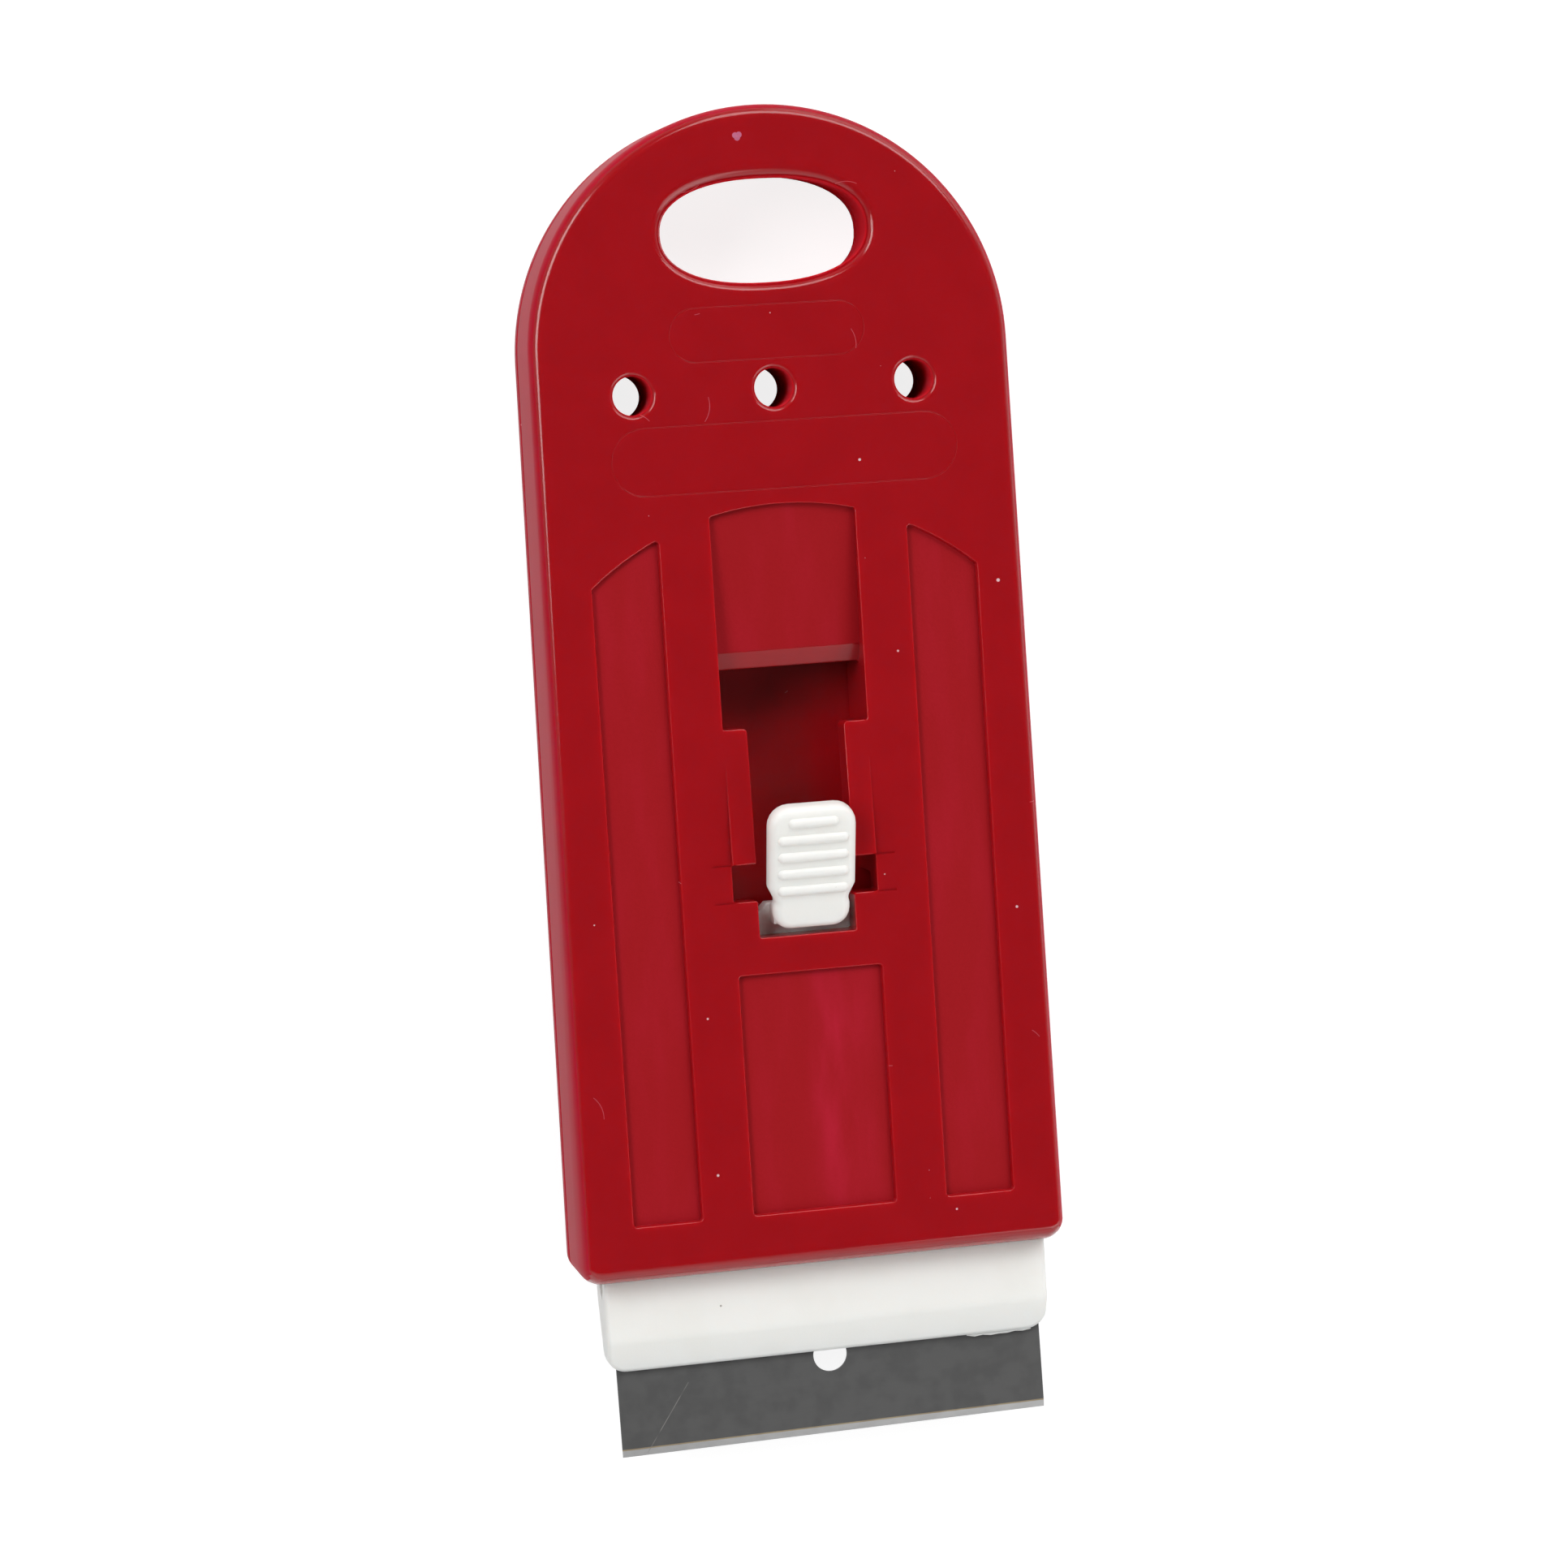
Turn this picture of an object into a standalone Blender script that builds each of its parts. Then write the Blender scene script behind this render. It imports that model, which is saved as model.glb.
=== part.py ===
"""Safety scraper: a two-part plastic handle, a sliding blade carrier with a sprung thumb latch,
and a single-edge razor blade with a folded steel back. Units are metres. The scraper lies on its
rear face: X runs across it, Y towards the handle end and Z out of the front face. The origin is the
middle of the bottom of its bounding box.
"""
import math

import bmesh
import bpy
from mathutils import Matrix

# Handle body, seen from the front
body_length = 0.1023
head_narrowing = 0.00075
nose_side_wall = 0.0012
nose_corner_radius = 0.0024

# Handle body, through its thickness
body_thickness = 0.0095
front_wall = 0.0026
rear_wall = 0.0016
side_wall = 0.0015
parting_height = 0.0021
parting_gap = 0.0003
side_edge_radius = 0.0010
nose_edge_radius = 0.0019
rear_edge_radius = 0.0009
parting_edge_radius = 0.0003

# Hang hole in the head, an oval with rolled rims
hang_hole_to_apex = 0.0109
hang_hole_half_width = 0.0085
hang_hole_half_height = 0.0045
hang_hole_flare = 0.0008
hang_hole_wall = 0.0014

# Row of three small holes below it
small_hole_radius = 0.0017
small_hole_flare = 0.0005
small_hole_pitch = 0.01255
small_hole_below_hang_hole = 0.01365
small_hole_wall = 0.0013

# Opening in the front wall: slot, cross notch, rails and window
slot_start_from_nose = 0.0297
slot_half_width = 0.00435
slot_below_notch = 0.0033
column_half_width = 0.0065
notch_length = 0.0033
rail_length = 0.0119
rail_rise = 0.00045
rail_sink = 0.0001
rail_corner_radius = 0.0008
window_length = 0.00515

# Ramp recess above the window, under an arched top
ramp_length = 0.0143
ramp_top_depth = 0.00045
ramp_end_depth = 0.0015
lip_length = 0.00155
lip_depth = 0.0022
arch_radius = 0.0265

# Grip panels, shallow recesses
panel_depth = 0.0007
panel_start_from_nose = 0.00515
centre_panel_length = 0.02133
centre_panel_half_width = 0.00647
side_panel_inner = 0.0111
side_panel_outer = 0.01725
rear_panel_depth = 0.0004
rear_panel_length = 0.0520

# Ribs beside the latch's path, and the pins that locate the two shells
rib_setback = 0.0001
rib_thickness = 0.0012
pin_radius = 0.0009
pin_fit = 0.0003
pin_boss_wall = 0.0011
pin_length = 0.0030
pin_from_side = 0.0044
upper_pin_below_small_holes = 0.0066
lower_pin_above_channel = 0.0044

# Blade carrier
carrier_cheek = 0.00035
carrier_side_clearance = 0.0007
carrier_face_clearance = 0.0003
carrier_reach = 0.00855
carrier_length = 0.0215
carrier_corner_radius = 0.0018
carrier_edge_radius = 0.0004
carrier_front_bevel_length = 0.00305
carrier_rear_bevel_length = 0.0065
carrier_lip = 0.0003
slit_height = 0.0005
slit_length = 0.0018
slide_travel = 0.0200
channel_end_clearance = 0.0015
channel_stop_rake = 0.0004
side_play = 0.0004

# Razor blade, its folded back, and the pocket that holds them
blade_width = 0.0390
blade_height = 0.0190
blade_thickness = 0.00023
blade_land = 0.0006
blade_edge_thickness = 0.00004
blade_reach = 0.01615
blade_below_face = 0.00495
blade_skew = math.radians(0.65)
blade_play = 0.00015
blade_hole_radius = 0.00155
blade_hole_to_edge = 0.00713
blade_notch_radius = 0.0013
blade_notch_to_edge = 0.0128
back_height = 0.0046
back_thickness = 0.00105
back_wall = 0.0002
pocket_clearance = 0.0003
pocket_side_clearance = 0.00035
pocket_end_clearance = 0.0005
pip_radius = 0.00045

# Latch arm and thumb pad
arm_half_width = 0.0042
arm_thickness = 0.0018
arm_root_length = 0.0055
arm_root_gap = 0.0003
arm_tip_from_slot = 0.00275
arm_tip_half_width = 0.0034
wing_half_width = 0.0061
wing_side_length = 0.0013
wing_rake = 0.00015
wing_chamfer = 0.0026
neck_half_width = 0.0032
neck_length = 0.0017
pad_half_width = 0.0038
pad_length = 0.0118
pad_thickness = 0.0020
pad_tilt = math.radians(18.3)
pad_end_from_slot = 0.0004
pad_corner_radius = 0.0019
pad_edge_radius = 0.0005
pad_waist_half_width = 0.0034
pad_waist_from_end = 0.0027
pad_taper_length = 0.0013
foot_half_width = 0.0036
foot_length = 0.0019
foot_corner_radius = 0.0012
ridge_count = 5
ridge_pitch = 0.0016
ridge_radius = 0.0005
ridge_sink = 0.0001
ridge_half_length = 0.0031
top_ridge_half_length = 0.0022
ridge_from_pad_top = 0.0018

# Working allowances and curve steps
cut_overrun = 0.002
joint_overlap = 0.0005
weld_distance = 0.000001
flat_angle = math.radians(0.5)
smooth_angle = math.radians(35.0)
arc_steps = 6
head_steps = 22
hole_steps = 28
edge_steps = 3
ridge_sides = 12
ridge_rings = 7

# Widths that follow from the blade: carrier, channel and handle
carrier_half_width = blade_width / 2 + pocket_side_clearance + carrier_cheek
channel_half_width = carrier_half_width + carrier_side_clearance
nose_half_width = channel_half_width + nose_side_wall
head_radius = nose_half_width - head_narrowing

# Places, worked out from the sizes above
overall_length = body_length + blade_reach + blade_width / 2 * math.sin(blade_skew)
apex_y = overall_length / 2
nose_y = apex_y - body_length
head_y = apex_y - head_radius
taper = math.atan((nose_half_width - head_radius) / (head_y - nose_y))
face_z = body_thickness
ceiling_z = face_z - front_wall
front_shell_z = parting_height + parting_gap / 2
rear_shell_z = parting_height - parting_gap / 2
inner_foot_z = rear_wall + parting_gap
hang_hole_y = apex_y - hang_hole_to_apex
small_hole_y = hang_hole_y - small_hole_below_hang_hole
slot_y = nose_y + slot_start_from_nose
notch_y = slot_y + slot_below_notch
rail_y = notch_y + notch_length
window_y = rail_y + rail_length
window_top_y = window_y + window_length
lip_top_y = window_top_y + lip_length
ramp_top_y = window_top_y + ramp_length
panel_y = nose_y + panel_start_from_nose
carrier_tip_y = nose_y - carrier_reach
carrier_top_y = carrier_tip_y + carrier_length
carrier_low_z = rear_wall + carrier_face_clearance
carrier_high_z = ceiling_z - carrier_face_clearance
channel_top_y = carrier_top_y + slide_travel + channel_end_clearance
blade_z = face_z - blade_below_face
blade_edge_y = nose_y - blade_reach
blade_middle_y = blade_edge_y + blade_height / 2
arm_low_z = carrier_high_z - arm_thickness
arm_root_y = carrier_top_y - arm_root_length
arm_tip_y = slot_y + arm_tip_from_slot
hinge_y = arm_root_y + arm_thickness / 2
hinge_z = carrier_high_z - arm_thickness / 2
pad_end_y = slot_y + pad_end_from_slot


def clear_scene():
    """Remove every object that the file starts with."""
    for thing in list(bpy.data.objects):
        bpy.data.objects.remove(thing, do_unlink=True)


def new_collection(name):
    """Make a collection under the scene's own."""
    group = bpy.data.collections.new(name)
    bpy.context.scene.collection.children.link(group)
    return group


def new_material(name, colour, roughness, metallic=0.0):
    """Make a plain Principled material."""
    finish = bpy.data.materials.new(name)
    finish.use_nodes = True
    shader = finish.node_tree.nodes["Principled BSDF"]
    shader.inputs["Base Color"].default_value = (*colour, 1.0)
    shader.inputs["Roughness"].default_value = roughness
    shader.inputs["Metallic"].default_value = metallic
    return finish


def arc(centre, radius, start, end, steps=arc_steps):
    """Points of an arc between two angles, both ends included."""
    angles = [start + (end - start) * step / steps for step in range(steps + 1)]
    return [(centre[0] + radius * math.cos(a), centre[1] + radius * math.sin(a)) for a in angles]


def mirrored(right):
    """Close a right-hand outline with its mirror image, with one copy of points on the middle line."""
    left = [(-x, y) for x, y in reversed(right) if x > weld_distance]
    return right + left


def flipped(outline):
    """Mirror a whole outline to the left-hand side."""
    return [(-x, y) for x, y in reversed(outline)]


def tidy_mesh(mesh, name, group):
    """Weld a mesh, dissolve the edges inside its flat faces, shade it and link it."""
    work = bmesh.new()
    work.from_mesh(mesh)
    bmesh.ops.remove_doubles(work, verts=work.verts, dist=weld_distance)
    bmesh.ops.dissolve_limit(work, angle_limit=flat_angle, verts=work.verts, edges=work.edges)
    bmesh.ops.recalc_face_normals(work, faces=work.faces)
    work.to_mesh(mesh)
    work.free()
    mesh.name = name
    mesh.shade_smooth()
    mesh.set_sharp_from_angle(angle=smooth_angle)
    thing = bpy.data.objects.new(name, mesh)
    group.objects.link(thing)
    return thing


def mesh_of(guide):
    """Take the evaluated mesh of a curve or a profile, and remove that object."""
    bpy.context.view_layer.update()
    evaluated = guide.evaluated_get(bpy.context.evaluated_depsgraph_get())
    mesh = bpy.data.meshes.new_from_object(evaluated)
    bpy.data.objects.remove(guide, do_unlink=True)
    return mesh


def filled_outline(name, outline, thickness, group):
    """Fill a flat outline as a 2D curve, extruded evenly about Z = 0, and return its mesh."""
    curve = bpy.data.curves.new(name + "_outline", "CURVE")
    curve.dimensions = "2D"
    curve.fill_mode = "BOTH"
    curve.extrude = thickness / 2
    spline = curve.splines.new("POLY")
    spline.points.add(len(outline) - 1)
    for point, (x, y) in zip(spline.points, outline):
        point.co = (x, y, 0, 1)
    spline.use_cyclic_u = True
    guide = bpy.data.objects.new(name + "_outline", curve)
    group.objects.link(guide)
    return mesh_of(guide)


def plate(name, outline, low, high, group):
    """A flat piece: an outline in X and Y, between two heights."""
    mesh = filled_outline(name, outline, high - low, group)
    mesh.transform(Matrix.Translation((0, 0, (high + low) / 2)))
    return tidy_mesh(mesh, name, group)


def prism(name, outline, half_width, group, middle_x=0.0):
    """A piece of one section: an outline in Y and Z, drawn out along X to both sides."""
    mesh = filled_outline(name, outline, half_width * 2, group)
    mesh.transform(Matrix(((0, 0, 1, middle_x), (1, 0, 0, 0), (0, 1, 0, 0), (0, 0, 0, 1))))
    return tidy_mesh(mesh, name, group)


def box(name, low, high, group):
    """A box between two corners."""
    work = bmesh.new()
    bmesh.ops.create_cube(work, size=1)
    size = [end - start for start, end in zip(low, high)]
    middle = [(end + start) / 2 for start, end in zip(low, high)]
    bmesh.ops.transform(work, matrix=Matrix.Diagonal((*size, 1)), verts=work.verts)
    bmesh.ops.translate(work, vec=middle, verts=work.verts)
    mesh = bpy.data.meshes.new(name)
    work.to_mesh(mesh)
    work.free()
    return tidy_mesh(mesh, name, group)


def turned(name, profile, place, group, stretch=1.0):
    """Turn a profile of radii and heights, listed top to bottom, about Z. It may be stretched in X."""
    mesh = bpy.data.meshes.new(name + "_profile")
    edges = [(index, index + 1) for index in range(len(profile) - 1)]
    mesh.from_pydata([(radius, 0, height) for radius, height in profile], edges, [])
    guide = bpy.data.objects.new(name + "_profile", mesh)
    group.objects.link(guide)
    screw = guide.modifiers.new("Turn", "SCREW")
    screw.steps = hole_steps
    screw.render_steps = hole_steps
    screw.use_merge_vertices = True
    screw.merge_threshold = weld_distance
    solid = mesh_of(guide)
    solid.transform(Matrix.Diagonal((stretch, 1, 1, 1)))
    solid.transform(Matrix.Translation((place[0], place[1], 0)))
    return tidy_mesh(solid, name, group)


def cylinder(name, radius, low, high, place, group, stretch=1.0):
    """A round or oval column between two heights."""
    profile = [(0, high), (radius, high), (radius, low), (0, low)]
    return turned(name, profile, place, group, stretch)


def through_hole(name, radius, flare, place, group, stretch=1.0):
    """A cutter for a hole through the handle: a rolled front rim, then a bore that widens to the rear."""
    wide = radius + flare
    rim = arc((wide, face_z - flare), flare, math.pi / 2, math.pi)
    top = [(0, face_z + cut_overrun), (wide, face_z + cut_overrun)]
    bottom = [(wide, 0), (wide, -cut_overrun), (0, -cut_overrun)]
    return turned(name, top + rim + bottom, place, group, stretch)


def round_sharp_edges(thing, radius):
    """Round every sharp edge of an object."""
    bevel = thing.modifiers.new("Round", "BEVEL")
    bevel.width = radius
    bevel.segments = edge_steps
    bevel.limit_method = "ANGLE"
    bevel.angle_limit = smooth_angle


def round_edges_by_weight(thing, radius_at, largest):
    """Round each edge by its own radius, which radius_at gives from the edge's two ends."""
    mesh = thing.data
    weights = mesh.attributes.new("bevel_weight_edge", "FLOAT", "EDGE")
    for edge in mesh.edges:
        ends = [mesh.vertices[index].co for index in edge.vertices]
        weights.data[edge.index].value = radius_at(*ends) / largest
    bevel = thing.modifiers.new("Round", "BEVEL")
    bevel.width = largest
    bevel.segments = edge_steps
    bevel.limit_method = "WEIGHT"


def combine(thing, others, operation):
    """Join guides to an object, cut them out of it or keep what they share. They move with it."""
    for other in others:
        modifier = thing.modifiers.new(operation.title() + "_" + other.name, "BOOLEAN")
        modifier.operation = operation
        modifier.solver = "EXACT"
        modifier.object = other
        other.hide_render = True
        other.display_type = "WIRE"
        other.parent = thing


def stand_empty(name, place, group, parent=None, turn=0.0):
    """Stand an empty on a joint's axis, under the empty of the body that carries it."""
    empty = bpy.data.objects.new(name, None)
    empty.empty_display_size = arm_half_width
    group.objects.link(empty)
    origin = (0, 0, 0)
    if parent:
        empty.parent = parent
        origin = parent.location
    empty.location = [here - there for here, there in zip(place, origin)]
    empty.rotation_euler = (0, 0, turn)
    return empty


def carry(empty, thing, built_at=(0, 0, 0)):
    """Hang an object on an empty, so that the point it was built about lands on the empty."""
    thing.parent = empty
    thing.matrix_parent_inverse = Matrix.Translation(built_at).inverted()


def body_outline():
    """Outline of the handle from the front: square nose, slightly tapered sides, round head."""
    corner = nose_corner_radius
    nose_corner = arc((nose_half_width - corner, nose_y + corner), corner, -math.pi / 2, taper)
    head = arc((0, head_y), head_radius, taper, math.pi / 2, head_steps)
    return mirrored(nose_corner + head)


def half_width_at(y):
    """Half width of the handle beside its straight sides."""
    return head_radius + (head_y - y) * math.tan(taper)


def hollow_outline():
    """Outline of the space inside: the carrier's channel, open at the nose, then the head's hollow."""
    channel = [(channel_half_width, nose_y - cut_overrun), (channel_half_width, channel_top_y)]
    shoulder_y = channel_top_y + channel_stop_rake
    shoulder = [(half_width_at(shoulder_y) - side_wall, shoulder_y)]
    head = arc((0, head_y), head_radius - side_wall, taper, math.pi / 2, head_steps)
    return mirrored(channel + shoulder + head)


def opening_outline():
    """Outline of the slot, the cross notch, the gap between the rails and the window."""
    radius = rail_corner_radius
    corner = arc((slot_half_width + radius, window_y - radius), radius, math.pi, math.pi / 2)
    slot = [(slot_half_width, slot_y), (slot_half_width, notch_y)]
    notch = [(column_half_width, notch_y), (column_half_width, rail_y), (slot_half_width, rail_y)]
    window = [(column_half_width, window_y), (column_half_width, window_top_y)]
    return mirrored(slot + notch + corner + window)


def arched_panel(inner, outer, bottom):
    """Outline of a panel whose top follows the arch that the recesses share."""
    centre_y = ramp_top_y - arch_radius
    start = math.acos(outer / arch_radius)
    end = math.acos(inner / arch_radius)
    return [(inner, bottom), (outer, bottom)] + arc((0, centre_y), arch_radius, start, end)


def pin_places():
    """Places of the four locating pins."""
    upper_y = small_hole_y - upper_pin_below_small_holes
    lower_y = channel_top_y + lower_pin_above_channel
    places = []
    for y in (lower_y, upper_y):
        x = half_width_at(y) - pin_from_side
        places += [(-x, y), (x, y)]
    return places


def small_hole_places():
    """Places of the three small holes."""
    return [(index * small_hole_pitch, small_hole_y) for index in (-1, 0, 1)]


def hole_cutters(group):
    """Cutters for the hang hole and the three small holes."""
    stretch = hang_hole_half_width / hang_hole_half_height
    cutters = [through_hole("hang_hole_cutter", hang_hole_half_height, hang_hole_flare,
                            (0, hang_hole_y), group, stretch)]
    for index, place in enumerate(small_hole_places()):
        name = "small_hole_cutter_" + str(index + 1)
        cutters.append(through_hole(name, small_hole_radius, small_hole_flare, place, group))
    return cutters


def ramp_cutter(group):
    """Cutter for the ramp recess and the lip down to the window, under its arched top."""
    above = face_z + cut_overrun
    section = [
        (window_top_y - joint_overlap, above),
        (window_top_y - joint_overlap, face_z - lip_depth),
        (window_top_y, face_z - lip_depth),
        (lip_top_y, face_z - ramp_end_depth),
        (ramp_top_y + joint_overlap, face_z - ramp_top_depth),
        (ramp_top_y + joint_overlap, above),
    ]
    ramp = prism("ramp_cutter", section, column_half_width + joint_overlap, group)
    outline = mirrored(arched_panel(0, column_half_width, window_y))
    arch = plate("ramp_arch_guide", outline, ceiling_z, above + cut_overrun, group)
    combine(ramp, [arch], "INTERSECT")
    return ramp


def panel_cutters(name, low, high, length, group):
    """Cutters for the centre panel and the two side panels of one face."""
    side = arched_panel(side_panel_inner, side_panel_outer, panel_y)
    centre = mirrored([(centre_panel_half_width, panel_y), (centre_panel_half_width, panel_y + length)])
    return [
        plate(name + "_left_panel_cutter", flipped(side), low, high, group),
        plate(name + "_right_panel_cutter", side, low, high, group),
        plate(name + "_centre_panel_cutter", centre, low, high, group),
    ]


def hole_walls(group):
    """Walls round the hang hole and the small holes, between the two shells."""
    top = ceiling_z + joint_overlap
    rim = 1 + hang_hole_flare / hang_hole_half_height
    half_height = hang_hole_half_height * rim + hang_hole_wall
    stretch = (hang_hole_half_width * rim + hang_hole_wall) / half_height
    walls = [cylinder("hang_hole_wall", half_height, inner_foot_z, top, (0, hang_hole_y), group, stretch)]
    radius = small_hole_radius + small_hole_flare + small_hole_wall
    for index, place in enumerate(small_hole_places()):
        name = "small_hole_wall_" + str(index + 1)
        walls.append(cylinder(name, radius, inner_foot_z, top, place, group))
    return walls


def pin_bosses(group):
    """Bosses that take the locating pins."""
    top = ceiling_z + joint_overlap
    radius = pin_radius + pin_fit + pin_boss_wall
    return [cylinder("pin_boss_" + str(index + 1), radius, inner_foot_z, top, place, group)
            for index, place in enumerate(pin_places())]


def pin_sockets(group):
    """Cutters for the sockets in those bosses."""
    low = inner_foot_z - cut_overrun
    high = rear_wall + pin_length + pin_fit
    return [cylinder("pin_socket_" + str(index + 1), pin_radius + pin_fit, low, high, place, group)
            for index, place in enumerate(pin_places())]


def latch_ribs(group):
    """Two ribs inside the handle, one on each side of the latch's path."""
    inner = column_half_width + rib_setback
    outline = [(inner, channel_top_y), (inner + rib_thickness, channel_top_y),
               (inner + rib_thickness, ramp_top_y), (inner, ramp_top_y)]
    top = ceiling_z + joint_overlap
    return [plate("right_rib", outline, inner_foot_z, top, group),
            plate("left_rib", flipped(outline), inner_foot_z, top, group)]


def build_front_shell(parts, cutters):
    """Front shell: face, side walls, rails and every opening that shows."""
    shell = plate("front_shell", body_outline(), front_shell_z, face_z, parts)

    def radius_at(start, end):
        if abs(start.z - end.z) > weld_distance:
            return 0.0
        if start.z < ceiling_z:
            return parting_edge_radius
        along = ((start.y + end.y) / 2 - nose_y) / nose_corner_radius
        share = min(max(along, 0.0), 1.0)
        return nose_edge_radius + (side_edge_radius - nose_edge_radius) * share

    round_edges_by_weight(shell, radius_at, max(nose_edge_radius, side_edge_radius))
    hollow = plate("hollow_cutter", hollow_outline(), front_shell_z - cut_overrun, ceiling_z, cutters)
    rail_section = [
        (rail_y, ceiling_z + joint_overlap),
        (window_y, ceiling_z + joint_overlap),
        (window_y, face_z - rail_sink),
        (rail_y, face_z + rail_rise),
    ]
    rails = prism("rail_rise", rail_section, column_half_width, cutters)
    opening = plate("opening_cutter", opening_outline(), ceiling_z - joint_overlap,
                    face_z + cut_overrun, cutters)
    panels = panel_cutters("front", face_z - panel_depth, face_z + cut_overrun,
                           centre_panel_length, cutters)
    combine(shell, [hollow], "DIFFERENCE")
    combine(shell, hole_walls(cutters) + pin_bosses(cutters) + latch_ribs(cutters) + [rails], "UNION")
    combine(shell, [ramp_cutter(cutters), opening] + panels, "DIFFERENCE")
    combine(shell, pin_sockets(cutters) + hole_cutters(cutters), "DIFFERENCE")
    return shell


def build_rear_shell(parts, cutters):
    """Rear shell: a shallow tray with the same outline, its holes, panels and locating pins."""
    shell = plate("rear_shell", body_outline(), 0, rear_shell_z, parts)

    def radius_at(start, end):
        if abs(start.z - end.z) > weld_distance:
            return 0.0
        return rear_edge_radius if start.z < rear_wall else parting_edge_radius

    round_edges_by_weight(shell, radius_at, max(rear_edge_radius, parting_edge_radius))
    tray = plate("tray_cutter", hollow_outline(), rear_wall, rear_shell_z + cut_overrun, cutters)
    panels = panel_cutters("rear", -cut_overrun, rear_panel_depth, rear_panel_length, cutters)
    combine(shell, [tray] + panels + hole_cutters(cutters), "DIFFERENCE")
    pins = [cylinder("pin_" + str(index + 1), pin_radius, rear_wall - joint_overlap,
                     rear_wall + pin_length, place, cutters)
            for index, place in enumerate(pin_places())]
    combine(shell, pins, "UNION")
    return shell


def lip_bevels(mouth, group):
    """Cutters for the carrier's front and rear bevels, which leave a thin lip on each side."""
    past_y = carrier_tip_y - cut_overrun
    bevels = []
    for name, outer_z, side, length in (
            ("front", carrier_high_z, 1, carrier_front_bevel_length),
            ("rear", carrier_low_z, -1, carrier_rear_bevel_length)):
        tip_z = blade_z + side * (mouth + carrier_lip)
        slope = (outer_z - tip_z) / length
        clear_z = outer_z + side * cut_overrun
        clear_y = carrier_tip_y + length + side * cut_overrun / slope
        section = [(clear_y, clear_z), (past_y, tip_z - slope * cut_overrun), (past_y, clear_z)]
        bevels.append(prism(name + "_bevel_cutter", section, carrier_half_width + cut_overrun, group))
    return bevels


def blade_pocket(mouth, half_width, group):
    """Cutter for the blade's pocket: a narrow mouth, then a deeper part for the folded back."""
    deep = back_thickness / 2 + pocket_clearance
    mouth_y = carrier_tip_y - cut_overrun
    deep_y = blade_edge_y + blade_height - back_height - pocket_end_clearance
    end_y = blade_edge_y + blade_height + pocket_end_clearance
    step = [(mouth_y, mouth), (deep_y, mouth), (deep_y, deep), (end_y, deep)]
    section = [(y, blade_z + z) for y, z in step] + [(y, blade_z - z) for y, z in reversed(step)]
    return prism("pocket_cutter", section, half_width, group)


def build_carrier(parts, cutters):
    """Blade carrier: a plate bevelled to two lips, with the blade's pocket and the latch's seat."""
    half = carrier_half_width
    corner = carrier_corner_radius
    tip_corner = arc((half - corner, carrier_tip_y + corner), corner, -math.pi / 2, 0)
    outline = mirrored(tip_corner + [(half, carrier_top_y)])
    carrier = plate("blade_carrier", outline, carrier_low_z, carrier_high_z, parts)
    round_sharp_edges(carrier, carrier_edge_radius)

    mouth = blade_thickness / 2 + pocket_clearance
    pocket_half = blade_width / 2 + pocket_side_clearance
    seat_half = arm_half_width + arm_root_gap
    seat = box("latch_seat_cutter",
               (-seat_half, arm_root_y - arm_root_gap, arm_low_z - arm_root_gap),
               (seat_half, carrier_top_y + cut_overrun, carrier_high_z + cut_overrun), cutters)
    removed = lip_bevels(mouth, cutters) + [blade_pocket(mouth, pocket_half, cutters), seat]
    slit = [(nose_y + slit_length, blade_z - slit_height / 2), (nose_y, blade_z - slit_height / 2),
            (nose_y - slit_length, blade_z), (nose_y, blade_z + slit_height / 2),
            (nose_y + slit_length, blade_z + slit_height / 2)]
    pips = []
    for name, side in (("left", -1), ("right", 1)):
        removed.append(prism(name + "_slit_cutter", slit, half - pocket_half + joint_overlap,
                             cutters, side * half))
        place = (side * (pocket_half - pip_radius / 2), blade_edge_y + blade_notch_to_edge)
        pips.append(cylinder(name + "_pip", pip_radius, blade_z - mouth - joint_overlap,
                             blade_z + mouth + joint_overlap, place, cutters))
    combine(carrier, removed, "DIFFERENCE")
    combine(carrier, pips, "UNION")
    return carrier


def hone(blade, edge_y):
    """Thin the blade's last stretch down to its cutting edge."""
    work = bmesh.new()
    work.from_mesh(blade.data)
    everything = list(work.verts) + list(work.edges) + list(work.faces)
    bmesh.ops.bisect_plane(work, geom=everything, plane_co=(0, edge_y + blade_land, 0),
                           plane_no=(0, 1, 0))
    for vertex in work.verts:
        if vertex.co.y < edge_y + blade_land / 2:
            vertex.co.z *= blade_edge_thickness / blade_thickness
    work.to_mesh(blade.data)
    work.free()


def build_blade(parts, cutters):
    """Razor blade, built about its own middle: thin sheet, side notches, hole and honed edge."""
    half = blade_width / 2
    edge_y = -blade_height / 2
    top_y = blade_height / 2 - (back_thickness - blade_thickness) / 2
    notch = arc((half, edge_y + blade_notch_to_edge), blade_notch_radius, -math.pi / 2, -math.pi * 3 / 2)
    outline = mirrored([(half, edge_y)] + notch + [(half, top_y)])
    blade = plate("razor_blade", outline, -blade_thickness / 2, blade_thickness / 2, parts)
    hone(blade, edge_y)
    hole = cylinder("blade_hole_cutter", blade_hole_radius, -cut_overrun, cut_overrun,
                    (0, edge_y + blade_hole_to_edge), cutters)
    combine(blade, [hole], "DIFFERENCE")
    return blade


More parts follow.
